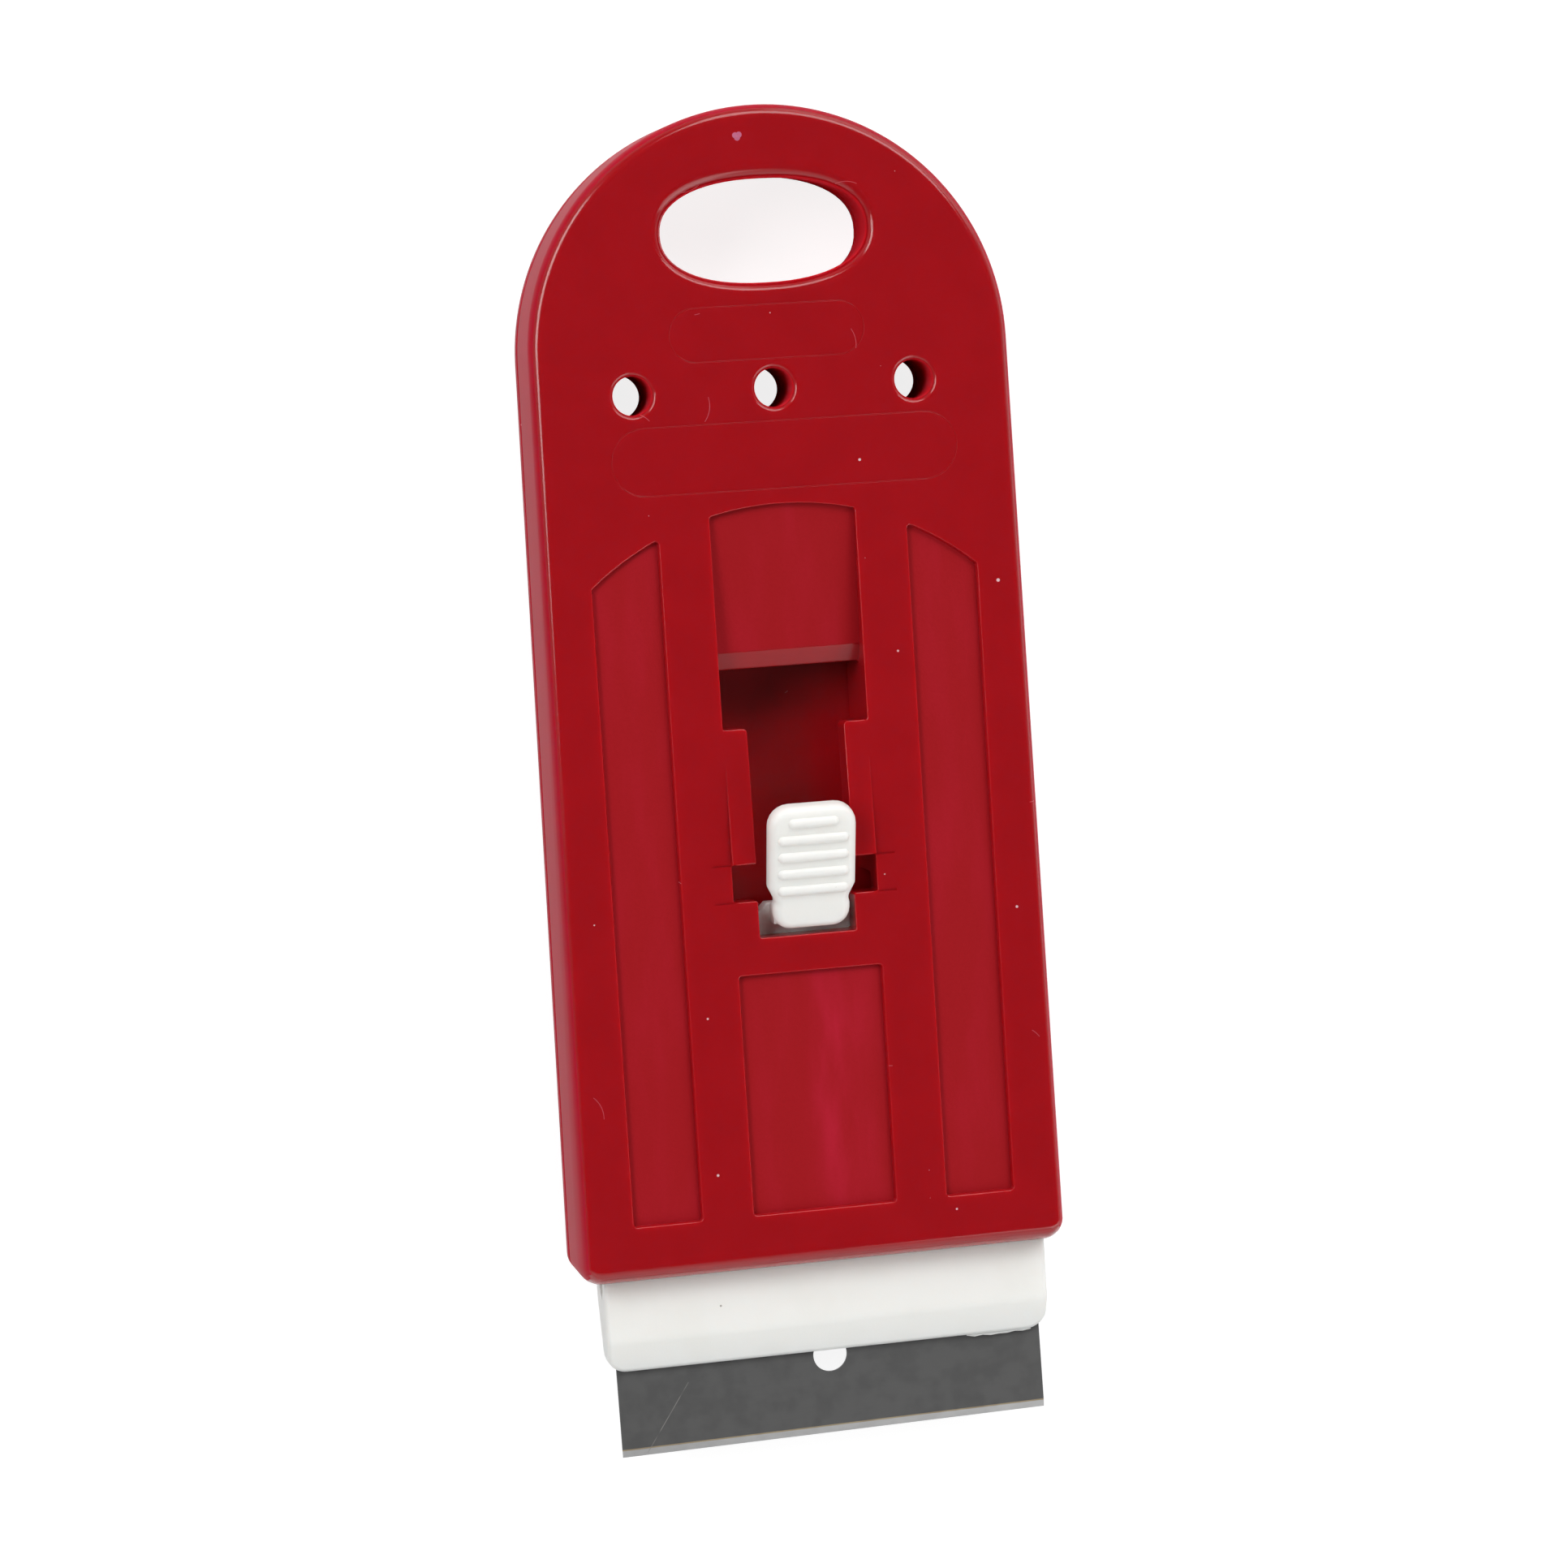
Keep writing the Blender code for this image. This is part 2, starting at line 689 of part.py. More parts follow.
def build_blade_back(parts):
    """Folded steel back of the blade: a strip bent round the sheet's top, built like the blade."""
    outer = back_thickness / 2
    inner = outer - back_wall
    low_y = blade_height / 2 - back_height
    bend_y = blade_height / 2 - outer
    outside = [(low_y, -outer)] + arc((bend_y, 0), outer, -math.pi / 2, math.pi / 2) + [(low_y, outer)]
    inside = [(low_y, inner)] + arc((bend_y, 0), inner, math.pi / 2, -math.pi / 2) + [(low_y, -inner)]
    return prism("blade_back", outside + inside, blade_width / 2, parts)


def pad_outline():
    """Outline of the thumb pad in its own plane, from its lower end up: foot, waist, sides, top."""
    foot = arc((foot_half_width - foot_corner_radius, foot_corner_radius), foot_corner_radius,
               -math.pi / 2, 0)
    waist = [(foot_half_width, foot_length), (pad_waist_half_width, pad_waist_from_end),
             (pad_half_width, pad_waist_from_end + pad_taper_length)]
    corner = pad_corner_radius
    top = arc((pad_half_width - corner, pad_length - corner), corner, 0, math.pi / 2)
    return mirrored(foot + waist + top)


def build_ridges(group):
    """Grip ridges across the pad, round-ended bars in the pad's own plane."""
    work = bmesh.new()
    for index in range(ridge_count):
        half_length = top_ridge_half_length if index == 0 else ridge_half_length
        reach = half_length - ridge_radius
        lying = Matrix.Rotation(math.pi / 2, 4, "Y")
        made = bmesh.ops.create_uvsphere(work, u_segments=ridge_sides, v_segments=ridge_rings,
                                         radius=ridge_radius, matrix=lying)
        for vertex in made["verts"]:
            vertex.co.x += math.copysign(reach, vertex.co.x)
            vertex.co.y += pad_length - ridge_from_pad_top - index * ridge_pitch
            vertex.co.z -= ridge_sink
    mesh = bpy.data.meshes.new("ridges")
    work.to_mesh(mesh)
    work.free()
    return tidy_mesh(mesh, "ridges", group)


def build_latch(parts, cutters):
    """Latch arm: a flat spring with two wings that lock under the wall, and a tilted thumb pad."""
    wing_y = arm_tip_y - wing_chamfer
    shoulder_y = wing_y - wing_side_length
    right = [(arm_half_width, arm_root_y), (arm_half_width, shoulder_y + wing_rake),
             (wing_half_width, shoulder_y), (wing_half_width, wing_y), (arm_tip_half_width, arm_tip_y)]
    latch = plate("latch_arm", mirrored(right), arm_low_z, carrier_high_z, parts)

    onto_pad = Matrix.Translation((0, pad_end_y, face_z)) @ Matrix.Rotation(pad_tilt, 4, "X")
    pad = plate("thumb_pad", pad_outline(), -pad_thickness, 0, cutters)
    round_sharp_edges(pad, pad_edge_radius)
    ridges = build_ridges(cutters)
    pad.matrix_local = onto_pad
    ridges.matrix_local = onto_pad
    neck_y = pad_end_y + pad_thickness * math.sin(pad_tilt)
    neck = box("latch_neck", (-neck_half_width, neck_y, hinge_z),
               (neck_half_width, neck_y + neck_length, face_z - pad_thickness / 2), cutters)
    combine(latch, [neck, pad, ridges], "UNION")
    return latch


def main():
    """Build the scraper, then hang its moving pieces on their joints."""
    clear_scene()
    parts = new_collection("safety_scraper")
    cutters = new_collection("cutters")
    front = build_front_shell(parts, cutters)
    rear = build_rear_shell(parts, cutters)
    carrier = build_carrier(parts, cutters)
    latch = build_latch(parts, cutters)
    blade = build_blade(parts, cutters)
    back = build_blade_back(parts)

    slide = stand_empty("carrier_slide", (side_play, carrier_tip_y, blade_z), parts)
    hinge = stand_empty("latch_hinge", (side_play, hinge_y, hinge_z), parts, slide)
    lie = stand_empty("blade_lie", (side_play + blade_play, blade_middle_y, blade_z), parts,
                      slide, blade_skew)
    carry(slide, carrier, (0, carrier_tip_y, blade_z))
    carry(hinge, latch, (0, hinge_y, hinge_z))
    carry(lie, blade)
    carry(lie, back)

    finishes = (
        (front, new_material("red_face_plastic", (0.38, 0.008, 0.018), 0.28)),
        (rear, new_material("red_rear_plastic", (0.36, 0.008, 0.017), 0.32)),
        (carrier, new_material("white_carrier_plastic", (0.86, 0.86, 0.83), 0.45)),
        (latch, new_material("white_latch_plastic", (0.88, 0.88, 0.85), 0.42)),
        (blade, new_material("blade_steel", (0.20, 0.20, 0.20), 0.34, 1.0)),
        (back, new_material("back_steel", (0.45, 0.45, 0.45), 0.38, 1.0)),
    )
    for thing, finish in finishes:
        thing.data.materials.append(finish)


main()
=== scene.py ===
"""Looks of the safety scraper: red two-part handle, white blade carrier with its thumb latch, razor blade.

Units are metres, in the frame of the CAD model: X runs across the handle, Y towards its round end and Z
out of its front face. Every piece but the blade's folded back, which keeps its CAD mesh, is built here
from named sizes. Each has a procedural finish.
"""
import logging
import math
from dataclasses import dataclass, field
from enum import IntEnum
from typing import Callable, Dict, List, Optional, Sequence, Tuple, Union

import bmesh
import bpy
from mathutils import Matrix, Vector


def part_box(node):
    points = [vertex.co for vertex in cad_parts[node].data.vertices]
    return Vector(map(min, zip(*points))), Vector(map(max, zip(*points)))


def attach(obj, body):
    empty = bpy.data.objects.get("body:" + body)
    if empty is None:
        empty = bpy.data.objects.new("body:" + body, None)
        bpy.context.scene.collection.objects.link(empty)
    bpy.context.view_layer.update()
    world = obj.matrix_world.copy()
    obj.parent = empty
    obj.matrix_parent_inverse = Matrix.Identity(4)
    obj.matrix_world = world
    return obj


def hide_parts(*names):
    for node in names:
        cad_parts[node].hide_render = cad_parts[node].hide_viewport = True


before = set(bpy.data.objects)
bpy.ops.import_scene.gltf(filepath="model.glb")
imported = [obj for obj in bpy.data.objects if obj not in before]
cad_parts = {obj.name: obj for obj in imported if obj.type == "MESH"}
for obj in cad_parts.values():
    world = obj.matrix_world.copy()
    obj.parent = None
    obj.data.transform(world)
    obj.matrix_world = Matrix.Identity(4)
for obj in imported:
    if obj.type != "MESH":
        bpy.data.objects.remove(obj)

Point = Tuple[float, float]
Place = Tuple[float, float, float]
Span = Tuple[float, float, float, float]
Ring = List[Place]
Colour = Tuple[float, float, float]
Thing = bpy.types.Object
Material = bpy.types.Material
Socket = bpy.types.NodeSocket
Sockets = Dict[str, Socket]
Value = Union[float, Colour, Socket]
Look = Tuple[Value, Value, Socket]

QUARTER = math.pi / 2
WELD = 1e-7
OVERRUN = 0.002
OVERLAP = 0.0004
SHARP = math.radians(32)
FULL_WEIGHT = 100
WHITE = (1.0, 1.0, 1.0, 1.0)
# Places of a Mix node's share and two colours among its inputs, and of the mixed colour among its outputs
MIX_INPUTS = (0, 6, 7)
MIX_RESULT = 2
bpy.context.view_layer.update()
log = logging.getLogger("scraper")


class Steps(IntEnum):
    """Chords of the curves, from the smallest rolls to the rims that catch light."""

    ROLL = 3
    CORNER = 6
    NOSE = 10
    BEND = 12
    LINE = 16
    HOLLOW = 20
    HEAD = 40
    HOLE = 64


class Surface(IntEnum):
    """Surfaces of a shell, in the order of its finishes."""

    FACE = 0
    PANEL = 1
    WALL = 2
    BORE = 3
    MARK = 4


@dataclass(frozen=True)
class Handle:
    """Sizes of the handle that its shells, the carrier and the latch share, and the places they give."""

    length: float = 0.1023
    head_radius: float = 0.02135
    nose_half_width: float = 0.0221
    nose_corner: float = 0.0019
    face_z: float = 0.0095
    ceiling_z: float = 0.0069
    floor_z: float = 0.0016
    front_low_z: float = 0.00225
    rear_high_z: float = 0.00195
    side_wall: float = 0.0015
    hang_hole_to_apex: float = 0.0109
    hang_bore: Point = (0.0091, 0.0045)
    hang_flare: Point = (0.0010, 0.0011)
    hang_fullness: float = 2.3
    hang_rim_rise: float = 0.0002
    small_bore: Point = (0.0017, 0.0017)
    small_flare: Point = (0.0005, 0.0005)
    small_pitch: float = 0.01255
    small_below_hang: float = 0.01365
    slot_start: float = 0.0297
    slot_half_width: float = 0.00435
    slot_below_notch: float = 0.0033
    column_half_width: float = 0.0065
    notch_length: float = 0.0033
    rail_length: float = 0.0119
    window_length: float = 0.00515
    ramp_length: float = 0.0143
    arch_radius: float = 0.0265
    panel_start: float = 0.00515
    channel_half_width: float = 0.0209
    channel_length: float = 0.03445
    apex_y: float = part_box("front_shell")[1][1]
    nose_y: float = apex_y - length
    head_y: float = apex_y - head_radius
    taper: float = math.atan((nose_half_width - head_radius) / (head_y - nose_y))
    hang_y: float = apex_y - hang_hole_to_apex
    small_y: float = hang_y - small_below_hang
    slot_y: float = nose_y + slot_start
    notch_y: float = slot_y + slot_below_notch
    rail_y: float = notch_y + notch_length
    window_y: float = rail_y + rail_length
    window_top_y: float = window_y + window_length
    arch_y: float = window_top_y + ramp_length
    panel_y: float = nose_y + panel_start
    channel_y: float = nose_y + channel_length

    def half_width_at(self, y: float) -> float:
        """Half width of the handle beside its straight sides."""
        return self.head_radius + (self.head_y - y) * math.tan(self.taper)


HANDLE = Handle()


# Outlines: lists of points in a plane, counter-clockwise


def arc(centre: Point, radius: float, start: float, end: float, steps: int) -> List[Point]:
    """Points of an arc between two angles, both ends included."""
    angles = [start + (end - start) * step / steps for step in range(steps + 1)]
    return [(centre[0] + radius * math.cos(a), centre[1] + radius * math.sin(a)) for a in angles]


def oval(place: Point, half: Point, steps: int = Steps.HOLE, fullness: float = 2.0) -> List[Point]:
    """Points of an oval about a place. A fullness of 2 is an ellipse, and more fills its corners."""
    turns = [(math.cos(math.tau * step / steps), math.sin(math.tau * step / steps)) for step in range(steps)]
    return [tuple(middle + reach * math.copysign(abs(share) ** (2 / fullness), share)
                  for middle, reach, share in zip(place, half, turn)) for turn in turns]


def oblong(left: float, right: float, low: float, high: float) -> List[Point]:
    """A rectangle."""
    return [(left, low), (right, low), (right, high), (left, high)]


def mirrored(right: Sequence[Tuple[float, ...]]) -> List[Tuple[float, ...]]:
    """Close a right-hand outline with its mirror image, with one copy of points on the middle line."""
    return list(right) + [(-x, *rest) for x, *rest in reversed(right) if x > WELD]


def both_sides(outline: Sequence[Point]) -> List[List[Point]]:
    """An outline on the right-hand side, and its mirror image on the left."""
    return [list(outline), [(-x, y) for x, y in reversed(outline)]]


def quarter(radius: float, steps: int = Steps.CORNER) -> List[Point]:
    """Shift and drop of each step of a rounded edge, from its wall to its face."""
    angles = [QUARTER * step / steps for step in range(steps + 1)]
    return [(radius * (1 - math.cos(a)), radius * (1 - math.sin(a))) for a in angles]


def raised(outline: Sequence[Point], height: float) -> Ring:
    """An outline at one height."""
    return [(x, y, height) for x, y in outline]


def rounded(corners: Sequence[Place], steps: int = Steps.CORNER) -> List[Point]:
    """Round the corners of an outline.

    Args:
        corners: X, Y and corner radius of each corner.
        steps: Chords in each rounded corner.

    Returns:
        The outline, with an arc for each corner that has a radius.
    """
    outline: List[Point] = []
    for index, (x, y, radius) in enumerate(corners):
        if radius <= 0:
            outline.append((x, y))
            continue
        here = Vector((x, y))
        back, ahead = ((Vector(corners[other % len(corners)][:2]) - here).normalized()
                       for other in (index - 1, index + 1))
        half = back.angle(ahead) / 2
        middle = here + (back + ahead).normalized() * (radius / math.sin(half))
        first, last = (here + side * (radius / math.tan(half)) - middle for side in (back, ahead))
        turn = first.angle_signed(last)
        outline += [tuple(middle + Matrix.Rotation(-turn * step / steps, 2) @ first)
                    for step in range(steps + 1)]
    return outline


def outset(outline: Sequence[Point], distance: Union[float, Sequence[float]]) -> List[Point]:
    """Move an outline outwards, with mitred corners.

    Args:
        outline: Counter-clockwise points.
        distance: How far, for all points or for each of them. Negative moves inwards.

    Returns:
        As many points as the outline has.
    """
    count = len(outline)
    reach = [distance] * count if isinstance(distance, (int, float)) else distance
    moved = []
    for index in range(count):
        before, here, after = (Vector(outline[(index + step) % count]) for step in (-1, 0, 1))
        edges = ((here - before).normalized(), (after - here).normalized())
        first, second = (Vector((edge.y, -edge.x)) for edge in edges)
        mitre = (first + second) / (1 + first.dot(second))
        moved.append(tuple(here + mitre * reach[index]))
    return moved


# Solids


def lofted(name: str, rings: Sequence[Ring], looped: bool = False) -> Thing:
    """Skin a row of rings that all have the same number of points.

    Args:
        name: Name of the object.
        rings: The rings in order.
        looped: True joins the last ring to the first, otherwise both ends are capped.

    Returns:
        A closed mesh object with its faces outwards.
    """
    work = bmesh.new()
    rows = [[work.verts.new(point) for point in ring] for ring in rings]
    for lower, upper in zip(rows, rows[1:] + (rows[:1] if looped else [])):
        for index in range(len(lower)):
            after = (index + 1) % len(lower)
            work.faces.new((lower[index], lower[after], upper[after], upper[index]))
    if not looped:
        work.faces.new(reversed(rows[0]))
        work.faces.new(rows[-1])
    bmesh.ops.remove_doubles(work, verts=work.verts, dist=WELD)
    bmesh.ops.recalc_face_normals(work, faces=work.faces)
    mesh = bpy.data.meshes.new(name)
    work.to_mesh(mesh)
    work.free()
    thing = bpy.data.objects.new(name, mesh)
    bpy.context.scene.collection.objects.link(thing)
    return thing


def block(name: str, outline: Sequence[Point], low: float, high: float) -> Thing:
    """A plain piece: an outline in X and Y, between two heights."""
    return lofted(name, [raised(outline, low), raised(outline, high)])


def bar(name: str, outline: Sequence[Point], half_width: float, middle_x: float = 0.0) -> Thing:
    """A piece of one section: an outline in Y and Z, drawn out along X to both sides."""
    ends = (middle_x - half_width, middle_x + half_width)
    return lofted(name, [[(x, y, z) for y, z in outline] for x in ends])


def rolled(outline: Sequence[Point], face: float, side: int, radii: Sequence[float],
           depths: Sequence[float]) -> List[Ring]:
    """Rings of a rounded edge, from its wall to its face.

    Args:
        outline: The outline at the wall.
        face: Height of the face.
        side: 1 for an upper face, and -1 for a lower one.
        radii: How far the edge reaches over the face, for each point.
        depths: How far it reaches down the wall, for each point.

    Returns:
        The rings in order.
    """
    rings = []
    for step in range(Steps.CORNER + 1):
        tilt = QUARTER * step / Steps.CORNER
        turns = [math.atan2(depth * math.sin(tilt), radius * math.cos(tilt))
                 for radius, depth in zip(radii, depths)]
        inner = outset(outline, [radius * (math.cos(turn) - 1) for radius, turn in zip(radii, turns)])
        rings.append([(x, y, face - side * depth * (1 - math.sin(turn)))
                      for (x, y), depth, turn in zip(inner, depths, turns)])
    return rings


def slab(name: str, outline: Sequence[Point], heights: Point, low_radius: float, high_radii: Sequence[float],
         high_depths: Sequence[float]) -> Thing:
    """A flat piece with rounded edges all round both of its faces.

    Args:
        name: Name of the object.
        outline: Its outline in X and Y.
        heights: Heights of its lower and upper faces.
        low_radius: Radius of the lower edge.
        high_radii: How far the upper edge reaches over the face, for each point.
        high_depths: How far it reaches down the wall, for each point.

    Returns:
        The object.
    """
    lower = [low_radius] * len(outline)
    rings = rolled(outline, heights[0], -1, lower, lower)[::-1]
    return lofted(name, rings + rolled(outline, heights[1], 1, high_radii, high_depths))


def even_slab(name: str, outline: Sequence[Point], heights: Point, low: float, high: float) -> Thing:
    """A flat piece whose lower and upper edges each have one radius all round."""
    upper = [high] * len(outline)
    return slab(name, outline, heights, low, upper, upper)


def reshape(thing: Thing, cuts: Sequence[float], height: Callable[[Vector], float]) -> None:
    """Add rows of edges across a mesh, then move each vertex to a new height.

    Args:
        thing: The object.
        cuts: Y of each row of edges.
        height: Works out the height of a vertex from its place.
    """
    work = bmesh.new()
    work.from_mesh(thing.data)
    for y in cuts:
        bmesh.ops.bisect_plane(work, geom=list(work.verts) + list(work.edges) + list(work.faces),
                               plane_co=(0, y, 0), plane_no=(0, 1, 0))
    for vertex in work.verts:
        vertex.co.z = height(vertex.co)
    work.to_mesh(thing.data)
    work.free()


class Solid:
    """A closed mesh in the making, with the cuts and joints that it still has to take."""

    def __init__(self, thing: Thing) -> None:
        """Start from one object."""
        self.thing = thing
        self.guides: List[Thing] = []

    def _take(self, operation: str, others: Sequence[Thing]) -> "Solid":
        """Queue one Boolean for each of the others.

        Args:
            operation: Name of the Boolean.
            others: Its guides.

        Returns:
            This solid.
        """
        for other in others:
            modifier = self.thing.modifiers.new(operation.title(), "BOOLEAN")
            modifier.operation = operation
            modifier.solver = "EXACT"
            modifier.object = other
            self.guides.append(other)
        return self

    def cut(self, *others: Thing) -> "Solid":
        """Cut the others out of this solid."""
        return self._take("DIFFERENCE", others)

    def join(self, *others: Thing) -> "Solid":
        """Join the others to this solid."""
        return self._take("UNION", others)

    def keep(self, *others: Thing) -> "Solid":
        """Keep only what this solid shares with the others."""
        return self._take("INTERSECT", others)

    def work_out(self) -> Thing:
        """Turn the queued Booleans into a mesh, and remove the guides.

        Returns:
            The object, without modifiers.
        """
        bpy.context.view_layer.update()
        evaluated = self.thing.evaluated_get(bpy.context.evaluated_depsgraph_get())
        mesh = bpy.data.meshes.new_from_object(evaluated)
        self.thing.modifiers.clear()
        self.thing.data = mesh
        mesh.name = self.thing.name
        for guide in self.guides:
            bpy.data.objects.remove(guide, do_unlink=True)
        return self.thing

    def settle(self, sharp: float = SHARP) -> Thing:
        """Work out the mesh and shade it smoothly, with its flat faces kept flat.

        Args:
            sharp: Angle above which an edge stays crisp.

        Returns:
            The finished object, with no modifier but the one that evens its shading.
        """
        thing = self.work_out()
        thing.data.shade_smooth()
        thing.data.set_sharp_from_angle(angle=sharp)
        even = thing.modifiers.new("Even shading", "WEIGHTED_NORMAL")
        even.keep_sharp = True
        even.weight = FULL_WEIGHT
        return thing


def finish_faces(thing: Thing, finishes: Sequence[Material],
                 choose: Optional[Callable[[Vector, Vector], int]] = None) -> None:
    """Give an object its finishes.

    Args:
        thing: The object.
        finishes: Its materials in slot order.
        choose: Picks the slot of a face from its middle and its normal. Without it all take the first.
    """
    thing.data.materials.clear()
    for finish in finishes:
        thing.data.materials.append(finish)
    for face in thing.data.polygons:
        face.material_index = choose(face.center, face.normal) if choose else 0


# Shader effects, each a node group that several finishes place with their own values


class Graph:
    """The node tree of one material, group or world, filled by name."""

    def __init__(self, tree: bpy.types.NodeTree) -> None:
        """Work on a tree."""
        self.tree = tree

    def add(self, kind: str, inputs: Optional[Dict[Union[str, int], Value]] = None,
            **settings: object) -> bpy.types.Node:
        """Add a node.

        Args:
            kind: Its type, without the ShaderNode in front.
            inputs: Values or sockets for its inputs, by name or place.
            settings: The node's own settings.

        Returns:
            The node.
        """
        node = self.tree.nodes.new("ShaderNode" + kind)
        for key, value in settings.items():
            setattr(node, key, value)
        self.fill(node, inputs or {})
        return node

    def fill(self, node: bpy.types.Node, inputs: Dict[Union[str, int], Value]) -> None:
        """Link sockets into a node's inputs, or set their values.

        Args:
            node: The node.
            inputs: Values or sockets by the name or place of the input.
        """
        for key, value in inputs.items():
            if isinstance(value, Socket):
                self.tree.links.new(value, node.inputs[key])
            else:
                node.inputs[key].default_value = value

    def math(self, operation: str, *values: Value) -> Socket:
        """A Math node of up to three values."""
        return self.add("Math", dict(enumerate(values)), operation=operation).outputs[0]

    def blend(self, share: Value, first: Value, second: Value) -> Socket:
        """Mix two colours by a share."""
        colours = [value if isinstance(value, Socket) else (*value, 1.0) for value in (first, second)]
        return self.add("Mix", dict(zip(MIX_INPUTS, [share, *colours])), data_type="RGBA").outputs[MIX_RESULT]

    def ramp(self, value: Socket, span: Point) -> Socket:
        """Rise smoothly from 0 to 1 as a value passes through a span."""
        return self.add("MapRange", {"Value": value, "From Min": span[0], "From Max": span[1]},
                        interpolation_type="SMOOTHSTEP").outputs["Result"]

    def near(self, value: Socket, limit: Value) -> Socket:
        """1 where a value is closer to 0 than a limit, and 0 elsewhere."""
        return self.math("LESS_THAN", self.math("ABSOLUTE", value), limit)

    def noise(self, spot: Socket, scale: Value, detail: float) -> Socket:
        """A noise at a scale."""
        return self.add("TexNoise", {"Vector": spot, "Scale": scale, "Detail": detail}).outputs["Fac"]

    def spot(self) -> Socket:
        """The place on the piece, in its own coordinates."""
        return self.add("TexCoord").outputs["Object"]

    def axes(self, vector: Socket) -> Sockets:
        """The X, Y and Z of a vector."""
        return self.add("SeparateXYZ", {"Vector": vector}).outputs

    def turned(self, spot: Socket, centre: Socket, angle: Value) -> Sockets:
        """Axes of a place seen from a centre, and turned about Z."""
        away = self.add("VectorMath", {0: spot, 1: centre}, operation="SUBTRACT").outputs["Vector"]
        return self.axes(self.add("VectorRotate", {"Vector": away, "Angle": angle},
                                  rotation_type="Z_AXIS").outputs["Vector"])

    def scatter(self, spot: Socket, spacing: Value) -> Tuple[Sockets, Sockets]:
        """A flat scatter of cells, and the random draws of each."""
        cells = self.add("TexVoronoi", {"Vector": spot, "Scale": spacing, "Randomness": 1.0},
                         voronoi_dimensions="2D").outputs
        return cells, self.add("SeparateColor", {"Color": cells["Color"]}).outputs


class Effect:
    """One shared node group. A child class names its sockets and builds it."""

    name = ""
    entries: Dict[str, float] = {}
    exits: Tuple[str, ...] = ("Mask",)

    def __init__(self) -> None:
        """Make the group with its sockets, then fill it."""
        self.tree = bpy.data.node_groups.new(self.name, "ShaderNodeTree")
        for entry, value in self.entries.items():
            socket = self.tree.interface.new_socket(entry, in_out="INPUT", socket_type="NodeSocketFloat")
            socket.default_value = value
        for out in self.exits:
            self.tree.interface.new_socket(out, in_out="OUTPUT", socket_type="NodeSocketFloat")
        graph = Graph(self.tree)
        given = self.tree.nodes.new("NodeGroupInput").outputs
        results = self.build(graph, graph.spot(), given)
        end = self.tree.nodes.new("NodeGroupOutput")
        graph.fill(end, dict(zip(self.exits, results)))

    def build(self, graph: Graph, spot: Socket, given: Sockets) -> List[Socket]:
        """Fill the group.

        Args:
            graph: The group's graph.
            spot: The place on the piece.
            given: The group's inputs by name.

        Returns:
            A socket for each of its outputs.
        """
        raise NotImplementedError

    def place(self, graph: Graph, values: Dict[str, float]) -> Sockets:
        """Place the group in a material's graph, with values for its inputs."""
        return graph.add("Group", values, node_tree=self.tree).outputs


class Skin(Effect):
    """Moulded skin: a slow ripple and a fine grain, as heights for a Bump node."""

    name = "moulded skin"
    entries = {"Ripple": 1.0, "Grain": 1.0, "Ripple size": 220.0, "Grain size": 5200.0}
    exits = ("Height", "Clouds")
    ripple_detail = 2.0
    grain_detail = 3.0

    def build(self, graph: Graph, spot: Socket, given: Sockets) -> List[Socket]:
        """Sum two noises at their own scales; the slow one is also put out alone.

        Args:
            graph: The group's graph.
            spot: The place on the piece.
            given: The group's inputs by name.

        Returns:
            The height and the slow noise.
        """
        slow = graph.noise(spot, given["Ripple size"], self.ripple_detail)
        fine = graph.noise(spot, given["Grain size"], self.grain_detail)
        ripple = graph.math("MULTIPLY", slow, given["Ripple"])
        return [graph.math("ADD", ripple, graph.math("MULTIPLY", fine, given["Grain"])), slow]


class Dust(Effect):
    """Dust: scattered specks, a few of them larger."""

    name = "dust specks"
    entries = {"Spacing": 420.0, "Size": 0.065, "Share": 0.04}

    def build(self, graph: Graph, spot: Socket, given: Sockets) -> List[Socket]:
        """Keep a share of a scatter of cells, each with a speck in its middle.

        Args:
            graph: The group's graph.
            spot: The place on the piece.
            given: The group's inputs by name.

        Returns:
            The specks.
        """
        cells, draw = graph.scatter(spot, given["Spacing"])
        chosen = graph.math("LESS_THAN", draw["Red"], given["Share"])
        size = graph.math("MULTIPLY", given["Size"], draw["Green"])
        return [graph.math("MULTIPLY", chosen, graph.math("LESS_THAN", cells["Distance"], size))]


class Scuffs(Effect):
    """Hairline scuffs: short bent strokes, each turned its own way."""

    name = "hairline scuffs"
    entries = {"Spacing": 150.0, "Width": 0.00003, "Reach": 0.0011, "Bend": 220.0, "Share": 0.10}

    def build(self, graph: Graph, spot: Socket, given: Sockets) -> List[Socket]:
        """Draw one stroke through the middle of some of the cells of a scatter.

        Args:
            graph: The group's graph.
            spot: The place on the piece.
            given: The group's inputs by name.

        Returns:
            The strokes.
        """
        cells, draw = graph.scatter(spot, given["Spacing"])
        axes = graph.turned(spot, cells["Position"], graph.math("MULTIPLY", draw["Blue"], math.pi))
        bow = graph.math("MULTIPLY", graph.math("MULTIPLY", axes["X"], axes["X"]), given["Bend"])
        thin = graph.near(graph.math("ADD", axes["Y"], bow), given["Width"])
        short = graph.near(axes["X"], graph.math("MULTIPLY", given["Reach"], draw["Green"]))
        chosen = graph.math("LESS_THAN", draw["Red"], given["Share"])
        return [graph.math("MULTIPLY", chosen, graph.math("MULTIPLY", thin, short))]


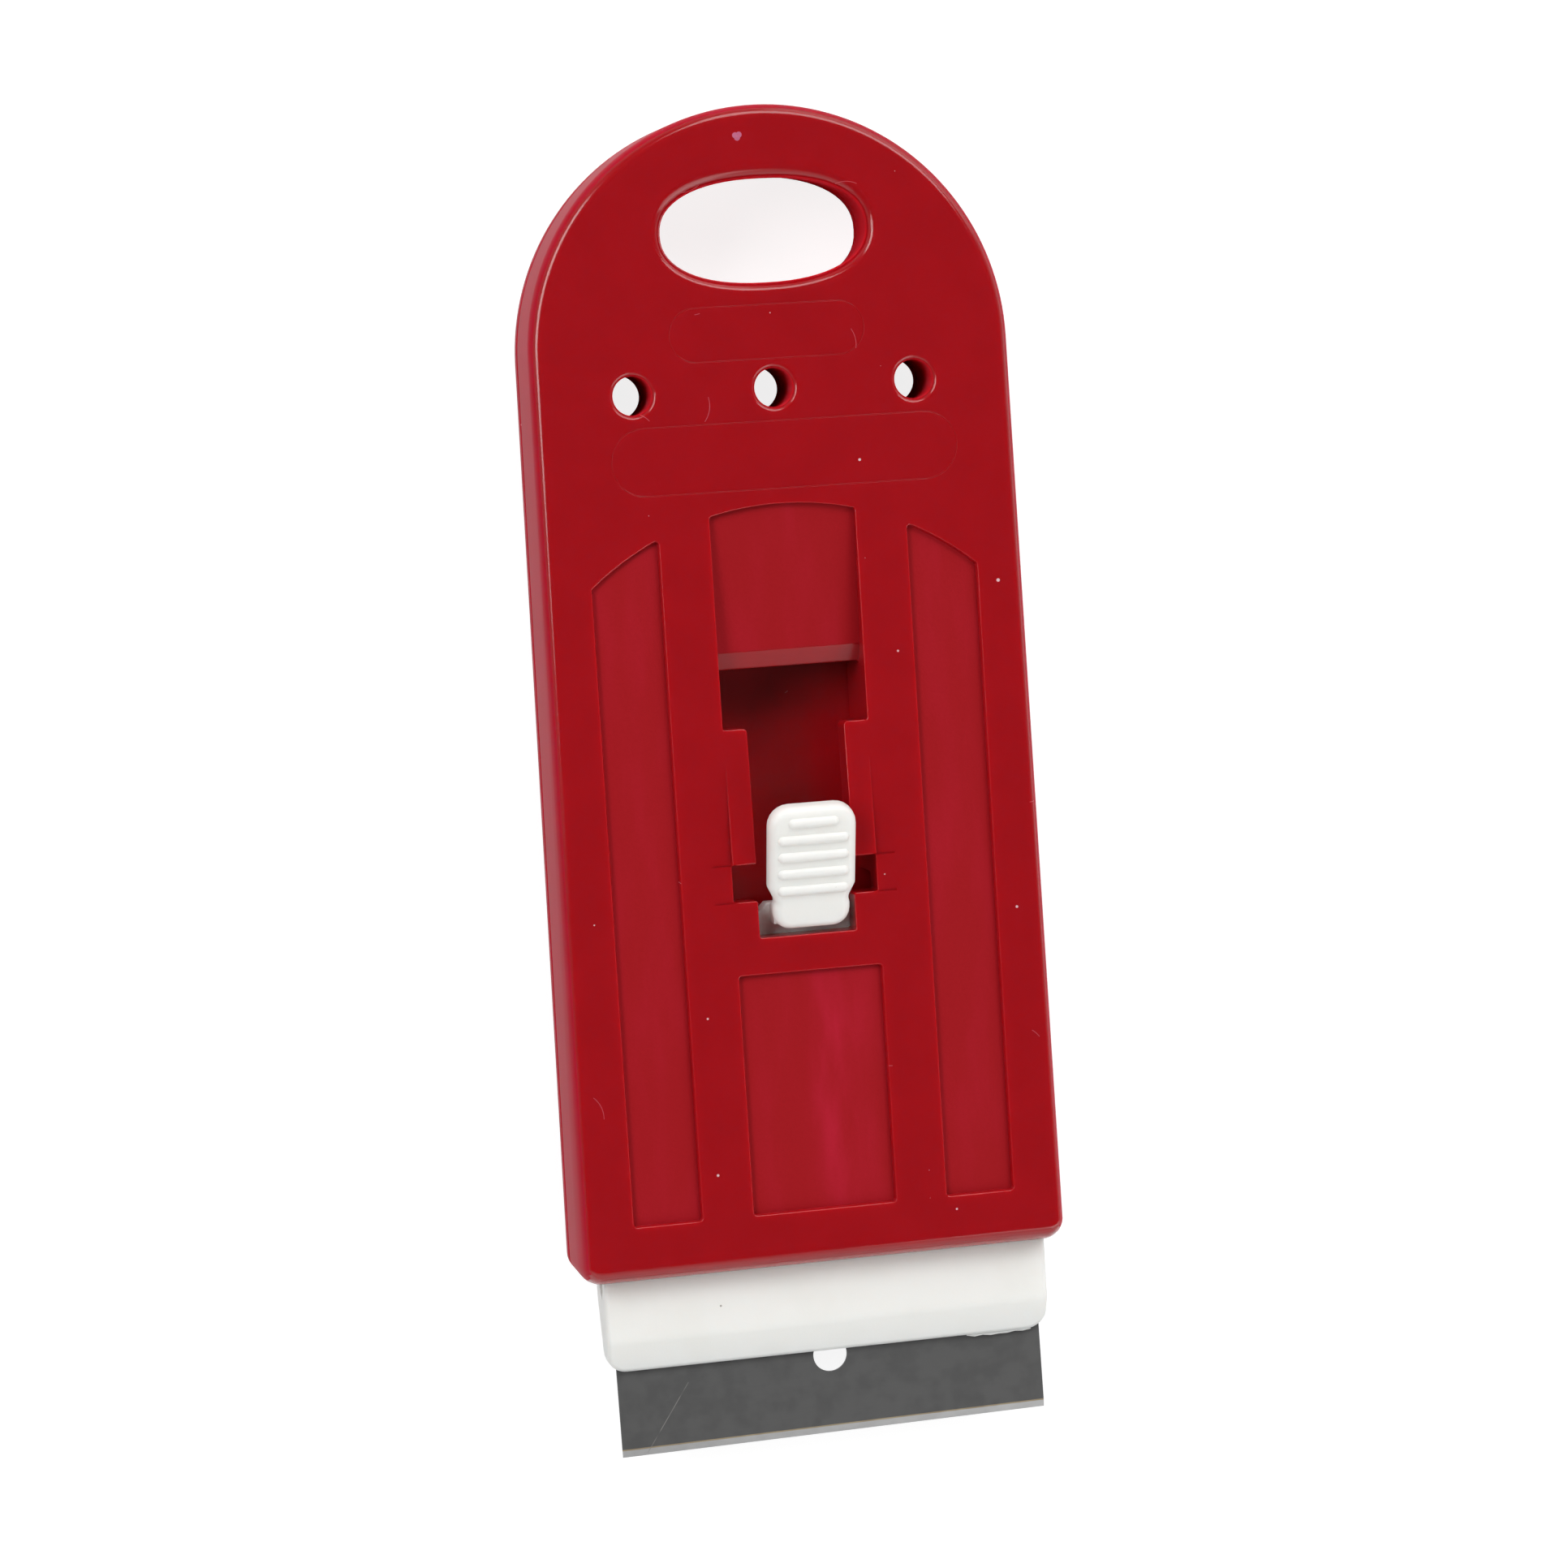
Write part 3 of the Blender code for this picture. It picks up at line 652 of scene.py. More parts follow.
class Scratch(Effect):
    """One long straight scratch, at a place and a turn of its own."""

    name = "long scratch"
    entries = {"X": 0.0, "Y": 0.0, "Turn": 0.0, "Reach": 0.001, "Width": 0.00003}
    break_size = 900.0
    break_span = (0.30, 0.60)

    def build(self, graph: Graph, spot: Socket, given: Sockets) -> List[Socket]:
        """Keep what lies near a line and within its reach, broken up by a fine noise.

        Args:
            graph: The group's graph.
            spot: The place on the piece.
            given: The group's inputs by name.

        Returns:
            The scratch.
        """
        middle = graph.add("CombineXYZ", {"X": given["X"], "Y": given["Y"]}).outputs["Vector"]
        axes = graph.turned(spot, middle, given["Turn"])
        line = graph.math("MULTIPLY", graph.near(axes["Y"], given["Width"]),
                          graph.near(axes["X"], given["Reach"]))
        broken = graph.ramp(graph.noise(spot, self.break_size, 0.0), self.break_span)
        return [graph.math("MULTIPLY", line, broken)]


class Streaks(Effect):
    """Streaks: noise drawn out along X or Y, for flow marks in plastic, for breaking up the painted sheen of
    the panels and for rolling marks in steel.
    """

    name = "drawn streaks"
    entries = {"Across": 900.0, "Along": 40.0, "Turned": 0.0}
    detail = 4.0

    def build(self, graph: Graph, spot: Socket, given: Sockets) -> List[Socket]:
        """Scale X and Y by their own rates, swapped when Turned is 1.

        Args:
            graph: The group's graph.
            spot: The place on the piece.
            given: The group's inputs by name.

        Returns:
            The streaks.
        """
        axes = graph.axes(spot)
        straight = graph.math("SUBTRACT", 1.0, given["Turned"])
        drawn = {}
        for axis, first, second in (("X", "Across", "Along"), ("Y", "Along", "Across")):
            kept = graph.math("MULTIPLY", given[first], straight)
            rate = graph.math("MULTIPLY_ADD", given[second], given["Turned"], kept)
            drawn[axis] = graph.math("MULTIPLY", axes[axis], rate)
        return [graph.noise(graph.add("CombineXYZ", drawn).outputs["Vector"], 1.0, self.detail)]


@dataclass
class Effects:
    """The shared effects, built once."""

    skin: Skin = field(default_factory=Skin)
    dust: Dust = field(default_factory=Dust)
    scuffs: Scuffs = field(default_factory=Scuffs)
    scratch: Scratch = field(default_factory=Scratch)
    streaks: Streaks = field(default_factory=Streaks)


# Finishes


def new_material(name: str) -> Tuple[Material, Graph, bpy.types.Node]:
    """Make a material.

    Args:
        name: Its name.

    Returns:
        The material, its graph and its Principled shader.
    """
    made = bpy.data.materials.new(name)
    made.use_nodes = True
    return made, Graph(made.node_tree), made.node_tree.nodes["Principled BSDF"]


@dataclass(frozen=True)
class Finish:
    """What every finish has: how it takes light, and a skin of ripple and grain."""

    name: str = "finish"
    roughness: float = 0.5
    metallic: float = 0.0
    ior: float = 1.49
    specular: float = 0.5
    glow: float = 0.0
    glow_reach: float = 0.0014
    glow_spread: Colour = (1.0, 0.9, 0.85)
    ripple: float = 0.5
    grain: float = 0.5
    ripple_size: float = 220.0
    grain_size: float = 5200.0
    bump: float = 0.00003
    bump_strength: float = 0.5

    def dress(self, graph: Graph, effects: Effects, skin: Sockets) -> Look:
        """Work out what varies over the surface.

        Args:
            graph: The material's graph.
            effects: The shared effects.
            skin: Outputs of the moulded skin.

        Returns:
            The colour, the roughness and the height of the relief.
        """
        raise NotImplementedError

    def make(self, effects: Effects) -> Material:
        """Build the material.

        Args:
            effects: The shared effects.

        Returns:
            The material.
        """
        made, graph, shader = new_material(self.name)
        skin = effects.skin.place(graph, {"Ripple": self.ripple, "Grain": self.grain,
                                          "Ripple size": self.ripple_size, "Grain size": self.grain_size})
        colour, roughness, height = self.dress(graph, effects, skin)
        bump = graph.add("Bump", {"Height": height, "Distance": self.bump, "Strength": self.bump_strength})
        graph.fill(shader, {
            "Base Color": colour, "Roughness": roughness, "Normal": bump.outputs["Normal"],
            "Metallic": self.metallic, "IOR": self.ior, "Specular IOR Level": self.specular,
        })
        if self.glow > 0:
            graph.fill(shader, {"Subsurface Weight": self.glow, "Subsurface Radius": self.glow_spread,
                                "Subsurface Scale": self.glow_reach})
        return made


@dataclass(frozen=True)
class GlossyRed(Finish):
    """Glossy red moulding with a faint ripple, dust and hairline scuffs."""

    name: str = "glossy_red_plastic"
    colour: Colour = (0.370, 0.0046, 0.0094)
    deep: Colour = (0.355, 0.0043, 0.0089)
    cloud_span: Point = (0.35, 0.65)
    dust_colour: Colour = (0.72, 0.50, 0.52)
    scuff_colour: Colour = (0.48, 0.065, 0.085)
    roughness: float = 0.15
    scuffed_roughness: float = 0.50
    glow: float = 0.9
    glow_reach: float = 0.0020
    glow_spread: Colour = (1.0, 0.05, 0.06)
    ripple: float = 0.35
    grain: float = 0.05
    dust_share: float = 0.045
    scuff_share: float = 0.22

    def dress(self, graph: Graph, effects: Effects, skin: Sockets) -> Look:
        """Lay scuffs and dust over a faintly clouded red.

        Args:
            graph: The material's graph.
            effects: The shared effects.
            skin: Outputs of the moulded skin.

        Returns:
            The colour, the roughness and the height of the relief.
        """
        dust = effects.dust.place(graph, {"Share": self.dust_share})["Mask"]
        scuffs = effects.scuffs.place(graph, {"Share": self.scuff_share})["Mask"]
        plain = graph.blend(graph.ramp(skin["Clouds"], self.cloud_span), self.colour, self.deep)
        scuffed = graph.blend(scuffs, plain, self.scuff_colour)
        marks = graph.math("MAXIMUM", scuffs, dust)
        rise = graph.math("MULTIPLY_ADD", marks, self.scuffed_roughness - self.roughness, self.roughness)
        return graph.blend(dust, scuffed, self.dust_colour), rise, skin["Height"]


@dataclass(frozen=True)
class SatinRed(Finish):
    """Satin red of the sunk panels: spark-eroded grain with soft flow streaks, and a painted sheen, a pale
    patch that stands in for a lamp's reflection.
    """

    name: str = "satin_red_plastic"
    colour: Colour = (0.322, 0.0055, 0.0100)
    # Pale lightens the flow streaks and, most of all, the painted sheen.
    pale: Colour = (0.450, 0.0110, 0.0330)
    specular: float = 0.14
    ripple: float = 0.2
    grain: float = 1.0
    grain_size: float = 3600.0
    bump: float = 0.00004
    bump_strength: float = 0.6
    streak_across: float = 260.0
    streak_along: float = 60.0
    streak_span: Point = (0.42, 0.72)
    streak_share: float = 0.22
    # Place, size, share and span of the painted sheen: a pale oval on the centre panel, painted reflection of
    # a lamp.
    sheen_place: Point = (0.0018, -0.0260)
    sheen_half: Point = (0.0024, 0.0110)
    sheen_share: float = 0.75
    sheen_span: Point = (0.28, 0.62)

    def dress(self, graph: Graph, effects: Effects, skin: Sockets) -> Look:
        """Lighten the red along soft streaks, and most of all in the painted sheen, a patch of painted
        reflection.

        Args:
            graph: The material's graph.
            effects: The shared effects.
            skin: Outputs of the moulded skin.

        Returns:
            The colour, the roughness and the height of the relief.
        """
        rates = {"Across": self.streak_across, "Along": self.streak_along}
        streaks = effects.streaks.place(graph, rates)["Mask"]
        soft = graph.math("MULTIPLY", graph.ramp(streaks, self.streak_span), self.streak_share)
        axes = graph.axes(graph.spot())
        squares = []
        for axis, middle, half in zip("XY", self.sheen_place, self.sheen_half):
            away = graph.math("DIVIDE", graph.math("SUBTRACT", axes[axis], middle), half)
            squares.append(graph.math("MULTIPLY", away, away))
        fall = graph.math("EXPONENT", graph.math("MULTIPLY", graph.math("ADD", *squares), -1.0))
        # Here mark is the painted sheen, a painted reflection, broken up by the streaks.
        mark = graph.math("MULTIPLY", graph.math("MULTIPLY", fall, self.sheen_share),
                          graph.ramp(streaks, self.sheen_span))
        share = graph.math("MINIMUM", graph.math("ADD", soft, mark), 1.0)
        return graph.blend(share, self.colour, self.pale), self.roughness, skin["Height"]


@dataclass(frozen=True)
class WhitePlastic(Finish):
    """White moulding, a little uneven, with faint grime in its dust."""

    name: str = "white_plastic"
    colour: Colour = (0.875, 0.875, 0.842)
    shadowed: Colour = (0.84, 0.84, 0.80)
    cloud_span: Point = (0.40, 0.75)
    cloud_share: float = 0.6
    grime: Colour = (0.42, 0.40, 0.36)
    grime_share: float = 0.03
    roughness: float = 0.42
    glow: float = 0.5

    def dress(self, graph: Graph, effects: Effects, skin: Sockets) -> Look:
        """Cloud the white a little and lay specks of grime over it.

        Args:
            graph: The material's graph.
            effects: The shared effects.
            skin: Outputs of the moulded skin.

        Returns:
            The colour, the roughness and the height of the relief.
        """
        dust = effects.dust.place(graph, {"Share": self.grime_share})["Mask"]
        clouds = graph.math("MULTIPLY", graph.ramp(skin["Clouds"], self.cloud_span), self.cloud_share)
        plain = graph.blend(clouds, self.colour, self.shadowed)
        return graph.blend(dust, plain, self.grime), self.roughness, skin["Height"]


@dataclass(frozen=True)
class Steel(Finish):
    """Rolled steel with fine streaks along the blade, mottling, hairline scuffs and one long scratch."""

    name: str = "dark_oiled_steel"
    colour: Colour = (0.125, 0.125, 0.124)
    worn: Colour = (0.092, 0.092, 0.092)
    scratch: Colour = (0.26, 0.25, 0.24)
    metallic: float = 0.35
    ior: float = 1.5
    roughness: float = 0.42
    streak_across: float = 9000.0
    streak_along: float = 120.0
    streak_share: float = 0.20
    ripple: float = 0.15
    ripple_size: float = 520.0
    grain: float = 0.3
    bump: float = 0.00002
    bump_strength: float = 0.3
    scuff_share: float = 0.06
    mottle_span: Point = (0.36, 0.70)
    mottle_share: float = 0.55
    scratch_from: Point = (-0.01251, -0.05313)
    scratch_to: Point = (-0.01660, -0.05911)
    scratch_width: float = 0.000035

    def dress(self, graph: Graph, effects: Effects, skin: Sockets) -> Look:
        """Mottle and streak the steel, and draw its scuffs and its scratch.

        Args:
            graph: The material's graph.
            effects: The shared effects.
            skin: Outputs of the moulded skin.

        Returns:
            The colour, the roughness and the height of the relief.
        """
        streaks = effects.streaks.place(graph, {"Across": self.streak_across, "Along": self.streak_along,
                                                "Turned": 1.0})["Mask"]
        scuffs = effects.scuffs.place(graph, {"Share": self.scuff_share})["Mask"]
        start, end = Vector(self.scratch_from), Vector(self.scratch_to)
        middle, span = (start + end) / 2, end - start
        turn = -math.atan2(span.y, span.x)
        line = effects.scratch.place(graph, {"X": middle.x, "Y": middle.y, "Turn": turn,
                                             "Reach": span.length / 2, "Width": self.scratch_width})["Mask"]
        clouds = graph.math("MULTIPLY", graph.ramp(skin["Clouds"], self.mottle_span), self.mottle_share)
        fine = graph.math("MULTIPLY", streaks, self.streak_share)
        share = graph.math("MINIMUM", graph.math("ADD", clouds, fine), 1.0)
        plain = graph.blend(share, self.colour, self.worn)
        marks = graph.math("MAXIMUM", scuffs, line)
        return graph.blend(marks, plain, self.scratch), self.roughness, streaks


# Sub-assemblies


@dataclass(frozen=True)
class Hole:
    """One hole of the handle: its bore, its rolled rim, how full its oval is and how far its rim rises."""

    place: Point
    bore: Point
    flare: Point
    fullness: float = 2.0
    rim_rise: float = 0.0


HOLES = [Hole((0.0, HANDLE.hang_y), HANDLE.hang_bore, HANDLE.hang_flare, HANDLE.hang_fullness,
              HANDLE.hang_rim_rise)]
HOLES += [Hole((step * HANDLE.small_pitch, HANDLE.small_y), HANDLE.small_bore, HANDLE.small_flare)
          for step in (-1, 0, 1)]


@dataclass
class Shell:
    """What the two halves of the handle share: outline, hollow, holes and panels."""

    side_panel_inner: float = 0.0111
    side_panel_outer: float = 0.01725
    centre_panel_half_width: float = 0.00647
    centre_panel_length: float = 0.0520
    panel_draft: float = 0.00012
    panel_roll: float = 0.00012
    panel_corner: float = 0.0003
    arch_chord: float = 0.0010
    parting_edge: float = 0.00025
    stop_rake: float = 0.0004
    hole_wall: float = 0.0014
    foot_z: float = 0.0019
    wall_slope: float = 0.72
    bore_slack: float = 0.12
    rear_flare_share: float = 0.6

    def outline(self) -> List[Point]:
        """Outline of the handle: square nose, slightly tapered sides, round head."""
        corner = HANDLE.nose_corner
        place = (HANDLE.nose_half_width - corner, HANDLE.nose_y + corner)
        nose = arc(place, corner, -QUARTER, HANDLE.taper, Steps.NOSE)
        head = arc((0, HANDLE.head_y), HANDLE.head_radius, HANDLE.taper, QUARTER, Steps.HEAD)
        return mirrored(nose + head)

    def hollow(self) -> List[Point]:
        """Outline of the space inside: the carrier's channel, open at the nose, then the head's hollow."""
        half, shoulder_y = HANDLE.channel_half_width, HANDLE.channel_y + self.stop_rake
        shoulder = (HANDLE.half_width_at(shoulder_y) - HANDLE.side_wall, shoulder_y)
        radius = HANDLE.head_radius - HANDLE.side_wall
        head = arc((0, HANDLE.head_y), radius, HANDLE.taper, QUARTER, Steps.HOLLOW)
        return mirrored([(half, HANDLE.nose_y - OVERRUN), (half, HANDLE.channel_y), shoulder] + head)

    def panel_outline(self, inner: float, outer: float, bottom: float,
                      top: Optional[float] = None) -> List[Point]:
        """Outline of a panel, with the shared arch for its top unless a straight top is given.

        Args:
            inner: X of its left side.
            outer: X of its right side.
            bottom: Y of its lower end.
            top: Y of its upper end, if that is straight.

        Returns:
            The outline.
        """
        if top is None:
            start, end = (math.acos(x / HANDLE.arch_radius) for x in (outer, inner))
            steps = max(2, round((outer - inner) / self.arch_chord))
            centre = (0, HANDLE.arch_y - HANDLE.arch_radius)
            crown = arc(centre, HANDLE.arch_radius, start, end, steps)
        else:
            crown = [(outer, top), (inner, top)]
        corner = self.panel_corner
        radii = [corner] + [0.0] * (len(crown) - 2) + [corner]
        upper = [(x, y, radius) for (x, y), radius in zip(crown, radii)]
        return rounded([(inner, bottom, corner), (outer, bottom, corner)] + upper, Steps.ROLL)

    def recess(self, outline: Sequence[Point], floor: float, face: float, draft: float) -> Thing:
        """Cutter for a recess with drafted walls and a rolled rim, above or below a face.

        Args:
            outline: Its outline at the face.
            floor: Height of its floor.
            face: Height of the face that it is sunk into.
            draft: How far its walls lean in at the floor.

        Returns:
            The cutter.
        """
        side = 1 if face > floor else -1
        rings = [raised(outset(outline, -draft), floor)]
        for shift, drop in quarter(self.panel_roll, Steps.ROLL):
            rings.append(raised(outset(outline, shift), face - side * drop))
        rings.append(raised(outset(outline, self.panel_roll), face + side * OVERRUN))
        return lofted("recess", rings)

    def panels(self, floor: float, face: float) -> List[Thing]:
        """Cutters for the two side panels and the centre panel of a face.

        Args:
            floor: Height of their floors.
            face: Height of the face.

        Returns:
            The three cutters.
        """
        low_y, half = HANDLE.panel_y, self.centre_panel_half_width
        right, left = both_sides(self.panel_outline(self.side_panel_inner, self.side_panel_outer, low_y))
        centre = self.panel_outline(-half, half, low_y, low_y + self.centre_panel_length)
        return [self.recess(outline, floor, face, self.panel_draft) for outline in (left, right, centre)]

    def holes(self) -> List[Thing]:
        """Cutters for the holes, rolled in front and wider at the rear."""
        cutters = []
        for hole in HOLES:
            (x, y), bore, flare = hole.place, hole.bore, hole.flare
            wide = (bore[0] + flare[0], bore[1] + self.rear_flare_share * flare[1])
            rings = [raised(oval((x, y), wide, fullness=hole.fullness), height) for height in (-OVERRUN, 0.0)]
            for shift, drop in quarter(1.0):
                grown = (bore[0] + flare[0] * shift, bore[1] + flare[1] * shift)
                rim = oval((x, y + hole.rim_rise * shift), grown, fullness=hole.fullness)
                rings.append(raised(rim, HANDLE.face_z - flare[1] * drop))
            rings.append(raised([point[:2] for point in rings[-1]], HANDLE.face_z + OVERRUN))
            cutters.append(lofted("hole", rings))
        return cutters

    def hole_walls(self) -> List[Thing]:
        """Walls round the holes, from the front shell down to the rear one."""
        walls = []
        for hole in HOLES:
            half = tuple(bore + flare + self.hole_wall for bore, flare in zip(hole.bore, hole.flare))
            walls.append(block("hole_wall", oval(hole.place, half, fullness=hole.fullness), self.foot_z,
                               HANDLE.ceiling_z + OVERLAP))
        return walls

    def wall_of(self, middle: Vector, normal: Vector) -> int:
        """Tell the outer side walls and the bores of the holes from the rest.

        Args:
            middle: Middle of a face.
            normal: Its normal.

        Returns:
            The slot of its finish.
        """
        if abs(normal.z) > self.wall_slope:
            return Surface.FACE
        for hole in HOLES:
            away = [(here - there) / (bore + flare) for here, there, bore, flare
                    in zip(middle, hole.place, hole.bore, hole.flare)]
            if math.hypot(*away) < 1 + self.bore_slack and middle.z < HANDLE.face_z - hole.flare[1] / 2:
                return Surface.BORE
        beyond = HANDLE.head_y - middle.y
        across = abs(middle.x) if beyond > 0 else math.hypot(middle.x, beyond)
        edge = HANDLE.half_width_at(middle.y) if beyond > 0 else HANDLE.head_radius
        return Surface.WALL if across > edge - HANDLE.side_wall / 2 else Surface.FACE


@dataclass
class FrontShell(Shell):
    """Front half of the handle: face, panels, ramp, window, rails, notch and slot."""

    head_edge: Point = (0.0011, 0.0013)
    side_edge: Point = (0.0009, 0.0030)
    nose_edge: Point = (0.0017, 0.0026)
    panel_depth: float = 0.0005
    centre_panel_length: float = 0.02133
    ramp_top_depth: float = 0.00045
    ramp_end_depth: float = 0.0015
    lip_length: float = 0.00155
    lip_depth: float = 0.0022
    opening_roll: float = 0.00010
    opening_corner: float = 0.0002
    rail_corner: float = 0.0004
    lip_corner: float = 0.0008
    floor_slope: float = 0.966
    rail_rise: float = 0.00045
    rail_sink: float = 0.0001
    rail_roll: float = 0.00016
    rib_thickness: float = 0.0012
    rib_setback: float = 0.0001
    line_width: float = 0.00011
    line_depth: float = 0.000045
    upper_line: Span = (-0.00905, 0.0083, 0.0373, 0.0420)
    lower_line: Span = (-0.0148, 0.01605, 0.0260, 0.0319)
    insert_line_reach: float = 0.0017
    insert_line_width: float = 0.00009
    insert_line_depth: float = 0.00009
    pit_place: Point = (-0.00193, 0.05657)
    pit_radius: float = 0.00026
    pit_tip: float = WELD * 10
    pit_depth: float = 0.00012
    pit_lobes: Tuple[Point, ...] = ((-0.00016, 0.0001), (0.00017, 0.00014), (0.0, -0.00012))

    def rail_z(self, y: float) -> float:
        """Height of the sloping rails at a place along them."""
        along = (y - HANDLE.rail_y) / HANDLE.rail_length
        return HANDLE.face_z + self.rail_rise - (self.rail_rise + self.rail_sink) * along

    def height(self, x: float, y: float) -> float:
        """Height of the front surface along the edge of the central opening.

        Args:
            x: Place across.
            y: Place along.

        Returns:
            The height there.
        """
        if y > HANDLE.window_top_y - WELD:
            return HANDLE.face_z - self.lip_depth
        on_rail = HANDLE.rail_y - WELD < y < HANDLE.window_y + WELD
        return self.rail_z(y) if on_rail and abs(x) < HANDLE.column_half_width - WELD else HANDLE.face_z

    def edge_at(self, y: float) -> Vector:
        """Reach and depth of the rolled outer edge: round at the head, taller at the sides, wide at the nose.

        Args:
            y: Place along the outline.

        Returns:
            How far it reaches over the face, and down the wall.
        """
        if y > HANDLE.head_y - WELD:
            return Vector(self.head_edge)
        share = min(max((y - HANDLE.nose_y) / HANDLE.nose_corner, 0.0), 1.0)
        return Vector(self.nose_edge).lerp(Vector(self.side_edge), share)

    def central_opening(self) -> Thing:
        """Cutter for the slot, the notch, the gap between the rails and the window, with a rolled rim."""
        small, slot, column = self.opening_corner, HANDLE.slot_half_width, HANDLE.column_half_width
        outline = rounded(mirrored([
            (slot, HANDLE.slot_y, small), (slot, HANDLE.notch_y, small),
            (column, HANDLE.notch_y, small), (column, HANDLE.rail_y, small),
            (slot, HANDLE.rail_y, small), (slot, HANDLE.window_y, self.rail_corner),
            (column, HANDLE.window_y, small), (column, HANDLE.window_top_y, small),
        ]))
        rings = [raised(outline, HANDLE.ceiling_z - OVERLAP)]
        for shift, drop in quarter(self.opening_roll):
            wide = outset(outline, shift)
            rings.append([(x, y, self.height(*at) - drop) for (x, y), at in zip(wide, outline)])
        rings.append(raised(outset(outline, self.opening_roll), HANDLE.face_z + OVERRUN))
        return lofted("central_opening", rings)

    def rails(self) -> List[Thing]:
        """The two wedge-shaped rails beside the gap, before the gap is cut."""
        made = []
        for outline in both_sides(oblong(HANDLE.slot_half_width - OVERLAP, HANDLE.column_half_width,
                                         HANDLE.rail_y, HANDLE.window_y)):
            rings = [raised(outline, HANDLE.ceiling_z + OVERLAP)]
            for shift, drop in quarter(self.rail_roll, Steps.ROLL):
                inner = outset(outline, -shift)
                rings.append([(x, y, self.rail_z(at[1]) - drop) for (x, y), at in zip(inner, outline)])
            made.append(lofted("rail", rings))
        return made

    def ramp(self) -> Thing:
        """Cutter for the ramp above the window and the lip down to it, under an arched top."""
        face, above, half = HANDLE.face_z, HANDLE.face_z + OVERRUN * 2, HANDLE.column_half_width
        low_y, high_y = HANDLE.window_top_y - OVERLAP, HANDLE.arch_y + OVERLAP
        section = rounded([
            (low_y, above, 0.0),
            (low_y, face - self.lip_depth, 0.0),
            (HANDLE.window_top_y, face - self.lip_depth, 0.0),
            (HANDLE.window_top_y + self.lip_length, face - self.ramp_end_depth, self.lip_corner),
            (high_y, face - self.ramp_top_depth, 0.0),
            (high_y, above, 0.0),
        ])
        arch = self.recess(self.panel_outline(-half, half, HANDLE.window_y), HANDLE.ceiling_z, face, 0.0)
        return Solid(bar("ramp", section, half + OVERLAP * 2)).keep(arch).work_out()

    def witness_lines(self) -> List[Thing]:
        """Cutters for the faint outlines of the mould's inserts."""
        above, below = HANDLE.face_z + self.line_depth, HANDLE.face_z - self.line_depth
        made = []
        for left, right, low, high in (self.upper_line, self.lower_line):
            end = (high - low) / 2
            outline = arc((right - end, low + end), end, -QUARTER, QUARTER, Steps.LINE)
            outline += arc((left + end, low + end), end, QUARTER, 3 * QUARTER, Steps.LINE)
            rings = [raised(outset(outline, -self.line_width), above), raised(outline, below),
                     raised(outset(outline, self.line_width), above)]
            made.append(lofted("witness_line", rings, looped=True))
        return made

    def insert_lines(self) -> List[Thing]:
        """Cutters for the fine lines that run outwards from the notch's corners."""
        half, width = HANDLE.column_half_width, self.insert_line_width
        pairs = [both_sides(oblong(half - OVERLAP, half + self.insert_line_reach, y - width, y + width))
                 for y in (HANDLE.notch_y, HANDLE.rail_y)]
        return [block("insert_line", outline, HANDLE.face_z - self.insert_line_depth, HANDLE.face_z + OVERRUN)
                for side in zip(*pairs) for outline in side]

    def gate_pits(self) -> List[Thing]:
        """Cutters for the small pits that the mould's gate left."""
        ends = ((self.pit_tip, -self.pit_depth), (self.pit_radius * 2, self.pit_depth))
        pits = []
        for x, y in self.pit_lobes:
            place = (self.pit_place[0] + x, self.pit_place[1] + y)
            pits.append(lofted("gate_pit", [raised(oval(place, (radius, radius), Steps.BEND),
                                                   HANDLE.face_z + height) for radius, height in ends]))
        return pits

    def ribs(self) -> List[Thing]:
        """Two ribs inside, one on each side of the latch's path."""
        inner = HANDLE.column_half_width + self.rib_setback
        outline = oblong(inner, inner + self.rib_thickness, HANDLE.channel_y, HANDLE.arch_y)
        return [block("rib", side, self.foot_z, HANDLE.ceiling_z + OVERLAP) for side in both_sides(outline)]

    def finish_of(self, middle: Vector, normal: Vector) -> int:
        """Satin on the floors of the recesses, then the gate's pit with its painted highlight, walls and
        bores, gloss elsewhere.

        Args:
            middle: Middle of a face.
            normal: Its normal.

        Returns:
            The slot of its finish.
        """
        sunk = HANDLE.face_z - self.lip_depth - WELD < middle.z < HANDLE.face_z - self.ramp_top_depth / 2
        inside = abs(middle.x) < self.side_panel_outer and middle.y < HANDLE.arch_y
        if sunk and inside and normal.z > self.floor_slope:
            return Surface.PANEL
        from_pit = math.hypot(middle.x - self.pit_place[0], middle.y - self.pit_place[1])
        if from_pit < self.pit_radius * 2 and middle.z < HANDLE.face_z - WELD:
            return Surface.MARK
        return self.wall_of(middle, normal)

    def build(self, finishes: Sequence[Material]) -> Thing:
        """Build and dress the front shell.

        Args:
            finishes: Its finishes in the order of Surface.

        Returns:
            The piece.
        """
        outline = self.outline()
        radii, depths = zip(*(self.edge_at(y) for _, y in outline))
        body = slab("front_shell_moulding", outline, (HANDLE.front_low_z, HANDLE.face_z), self.parting_edge,
                    radii, depths)
        solid = Solid(body).cut(block("hollow", self.hollow(), HANDLE.front_low_z - OVERRUN,
                                      HANDLE.ceiling_z))
        solid.join(*self.hole_walls(), *self.ribs(), *self.rails())
        solid.cut(self.ramp(), self.central_opening(),
                  *self.panels(HANDLE.face_z - self.panel_depth, HANDLE.face_z), *self.holes(),
                  *self.witness_lines(), *self.insert_lines(), *self.gate_pits())
        thing = solid.settle()
        finish_faces(thing, finishes, self.finish_of)
        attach(thing, "handle")
        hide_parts("front_shell")
        return thing


